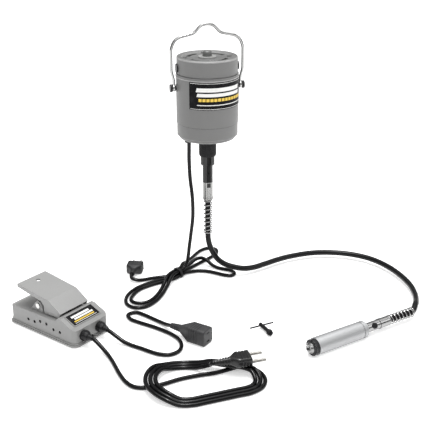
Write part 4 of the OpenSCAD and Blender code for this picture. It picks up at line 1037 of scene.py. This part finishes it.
class OBJECT_OT_flex_shaft_mains_lead(Operator):
    """Make the mains lead, its coil, its gland boot and the two-pin plug"""

    bl_idname = "object.flex_shaft_mains_lead"
    bl_label = "Mains lead"

    def execute(self, context):
        first = coil_point(0)
        before = first - 0.009 * (coil_point(0.02) - first).normalized()
        turns = [coil_point(i / COIL_STEPS) for i in range(int(COIL_END * COIL_STEPS) + 1)]
        line = smooth_line(out_of_gland(0.017) + laid(MAINS_LEAD) + [before] + turns + laid(PLUG_CLIMB)
                           + along(MAINS_PLUG, -7, 0), 5)
        mesh = bmesh.new()
        add_turned(mesh, MAINS_PLUG, ribbed(-4.0, 19.0, 4.3, 6.1, 6, 1.1))
        add_loft(mesh, MAINS_PLUG, (
            (17, 5.4, 5.4, 5.2), (19, 6.4, 5.9, 5.0), (22, 8.6, 6.3, 4.6), (25.5, 11.8, 6.8, 4.2),
            (28.5, 13.2, 7, 4.0), *grooves((30.5, 34.7, 38.9), 0.7, 1.4, (13.5, 7, 4.0), (12.9, 6.4, 3.8)),
            (45.4, 13.5, 7, 4.0), (46.3, 13.1, 6.6, 3.7), (46.6, 12.6, 6.1, 3.4)))
        plug = make("mains_plug_body", mesh, "mains plug moulding", replaces=["mains_plug"])
        gland_boot("mains_lead_boot", line)
        lead("mains_lead_run", line, sizes().lead_thickness, "lead jacket",
             ["mains_cord", "mains_coil"])
        return {"FINISHED"}


class OBJECT_OT_flex_shaft_sheath(Operator):
    """Make the flexible shaft's sheath and its two guard springs"""

    bl_idname = "object.flex_shaft_sheath"
    bl_label = "Flexible shaft"

    def execute(self, context):
        size = sizes()
        line = smooth_line(laid(SHEATH_BEND) + along(HAND, -92, -67, -42, -34), 8)
        lead("flexible_shaft", line, size.sheath_thickness, "shaft sheath",
             ["sheath"])

        radius = (size.spring_across - size.spring_wire) / 2
        half = size.spring_wire / 2
        upper = Matrix.Translation((0, 0, -0.342))
        lower = HAND @ Matrix.Translation((-0.092, 0, 0)) @ Matrix.Rotation(math.pi / 2, 4, "Y")
        for name, place, node, long, curls, side in (
                ("upper_guard_spring", upper, "upper_spring", 0.060, size.spring_curls, (1, 0, 0)),
                ("lower_guard_spring", lower, "lower_spring", 0.050, size.spring_curls - 1, (0, 0, 1))):
            wire = coil_of_wire(radius, half, long - half, curls, 28)
            mesh = bmesh.new()
            add_tube(mesh, [place @ p for p in wire], half, 12, side)
            make(name, mesh, "spring steel", replaces=[node], sharp=60)
        return {"FINISHED"}


# ---------- Motor, outlet, handpiece and pedal ----------

BAIL_WIDTH, PIVOT_HEIGHT = 0.114, -0.094


class OBJECT_OT_flex_shaft_bail(Operator):
    """Make the wire bail that the motor hangs from"""

    bl_idname = "object.flex_shaft_bail"
    bl_label = "Bail"

    def execute(self, context):
        wide, wire, pivot = BAIL_WIDTH, sizes().bail_wire, PIVOT_HEIGHT
        eye = wide / 2 - 0.0035
        half = [(wide * 0.075, wire / 2), (wide * 0.165, -0.009), (wide * 0.2, -0.0115),
                (wide * 0.385, -0.016), (wide * 0.46, -0.022), (wide / 2, -0.034),
                (wide / 2, pivot + 0.026), (eye, pivot + 0.013), (eye, pivot + 0.005)]
        corners = [(-x, 0, z) for x, z in reversed(half)] + [(x, 0, z) for x, z in half]
        mesh = bmesh.new()
        add_tube(mesh, rounded_corners(corners, 0.02, 10), wire / 2, 20)
        for side in (-1, 1):
            place = Matrix.Translation((side * eye, 0, pivot))
            add_turned(mesh, place, ((-1.4, 2.08), (-2.0, 2.6), (-2.0, 4.6), (-1.6, 5.3), (-0.9, 5.5),
                                     (0.9, 5.5), (1.6, 5.3), (2.0, 4.6), (2.0, 2.6), (1.4, 2.08)),
                       closed=True)
        make("bail_wire", mesh, "bail wire", body="bail", replaces=["bail"], sharp=50)
        return {"FINISHED"}


class OBJECT_OT_flex_shaft_motor(Operator):
    """Finish the motor's case, its name plate and everything inside"""

    bl_idname = "object.flex_shaft_motor"
    bl_label = "Motor"

    def execute(self, context):
        dress("motor enamel", "motor_housing", "top_cap", "lower_cover")
        dress("name plates", "label_plates")
        dress("black moulding", "brush_caps", "pivot_knobs")
        dress("black rubber", "cord_bush")
        dress("screw steel", "case_screws")
        dress("core sheets", "stator_core", "armature")
        dress("magnet wire", "field_coils", "commutator")
        dress("shaft steel", "motor_shaft", "motor_bearings", "drive_socket")
        dress("fan moulding", "cooling_fan")
        dress("brass", "brush_holders")
        dress("carbon", "carbon_brushes")
        return {"FINISHED"}


class OBJECT_OT_flex_shaft_outlet(Operator):
    """Finish the drive outlet, from the knurled collar to the shaft's ferrule"""

    bl_idname = "object.flex_shaft_outlet"
    bl_label = "Drive outlet"

    def execute(self, context):
        dress("knurled black", "output_collar")
        dress("sleeve black", "lock_sleeve", "coupling_tube")
        dress("ferrule metal", "shaft_ferrule")
        dress("shaft steel", "flex_core")
        return {"FINISHED"}


class OBJECT_OT_flex_shaft_handpiece(Operator):
    """Finish the handpiece, its geared chuck and the chuck key"""

    bl_idname = "object.flex_shaft_handpiece"
    bl_label = "Handpiece and key"

    def execute(self, context):
        dress("handle metal", "hand_body", "rear_ring")
        dress("neck metal", "hand_ferrule", "hand_neck", "spindle", "hand_bearings")
        dress("chuck steel", "chuck_body", "jaw_1", "jaw_2", "jaw_3")
        dress("geared black", "chuck_sleeve")
        dress("black moulding", "release_button")
        dress("key black", "chuck_key", "key_bar")
        return {"FINISHED"}


class OBJECT_OT_flex_shaft_pedal(Operator):
    """Finish the foot pedal and make its return spring"""

    bl_idname = "object.flex_shaft_pedal"
    bl_label = "Foot pedal"

    def execute(self, context):
        dress("pedal enamel", "treadle")
        dress("pedal casing", "pedal_housing", "base_plate")
        dress("pin steel", "hinge_pin", "wiper_arm")
        dress("control board", "speed_control")
        dress("black moulding", "cord_glands")
        dress("black rubber", "pedal_feet")
        dress("contact metal", "plug_contacts")

        # The spring's curls run round the hinge pin, from the treadle to the housing, in millimetres
        x, y, z = 57.0, 21.0, 42.0
        radius, pitch, curls, around = 4.1, 1.9, 6.25, 24
        line = [(x - 20, y - 0.6, z + 16.6), (x - 15, y - 0.5, z + 13.3), (x - 10, y - 0.4, z + 10)]
        for i in range(int(curls * around) + 1):
            a = math.radians(90 - i * 360 / around)
            line.append((x + radius * math.cos(a), y + pitch * i / around, z + radius * math.sin(a)))
        line += [(x + radius, y + 12, z - 5), (x + radius, y + 12, 31.9)]
        mesh = bmesh.new()
        add_tube(mesh, [PEDAL @ (Vector(p) * MM) for p in line], 0.0007, 12)
        make("treadle_return_spring", mesh, "spring steel", body="treadle",
             replaces=["treadle_spring"], sharp=60)
        return {"FINISHED"}


class VIEW3D_PT_flex_shaft(Panel):
    """Lists the sizes, the colours and the pieces"""

    bl_label = "Flex Shaft"
    bl_idname = "VIEW3D_PT_flex_shaft"
    bl_space_type = "VIEW_3D"
    bl_region_type = "UI"
    bl_category = "Flex Shaft"

    def draw(self, context):
        layout = self.layout
        for group in (context.scene.flex_shaft_sizes, context.scene.flex_shaft_colours):
            box = layout.box()
            for name in group.__annotations__:
                box.prop(group, name)
        for step in STEPS:
            layout.operator(step.bl_idname)


STEPS = (
    SCENE_OT_flex_shaft_stage,
    OBJECT_OT_flex_shaft_motor_lead,
    OBJECT_OT_flex_shaft_socket_lead,
    OBJECT_OT_flex_shaft_mains_lead,
    OBJECT_OT_flex_shaft_sheath,
    OBJECT_OT_flex_shaft_bail,
    OBJECT_OT_flex_shaft_motor,
    OBJECT_OT_flex_shaft_outlet,
    OBJECT_OT_flex_shaft_handpiece,
    OBJECT_OT_flex_shaft_pedal,
)
CLASSES = (FlexShaftSizes, FlexShaftColours, *STEPS, VIEW3D_PT_flex_shaft)


def register():
    for item in CLASSES:
        bpy.utils.register_class(item)
    bpy.types.Scene.flex_shaft_sizes = PointerProperty(type=FlexShaftSizes)
    bpy.types.Scene.flex_shaft_colours = PointerProperty(type=FlexShaftColours)


def unregister():
    del bpy.types.Scene.flex_shaft_colours
    del bpy.types.Scene.flex_shaft_sizes
    for item in reversed(CLASSES):
        bpy.utils.unregister_class(item)


def main():
    register()
    for step in STEPS:
        group, name = step.bl_idname.split(".")
        getattr(getattr(bpy.ops, group), name)()
    bpy.context.view_layer.update()


if __name__ == "__main__":
    main()
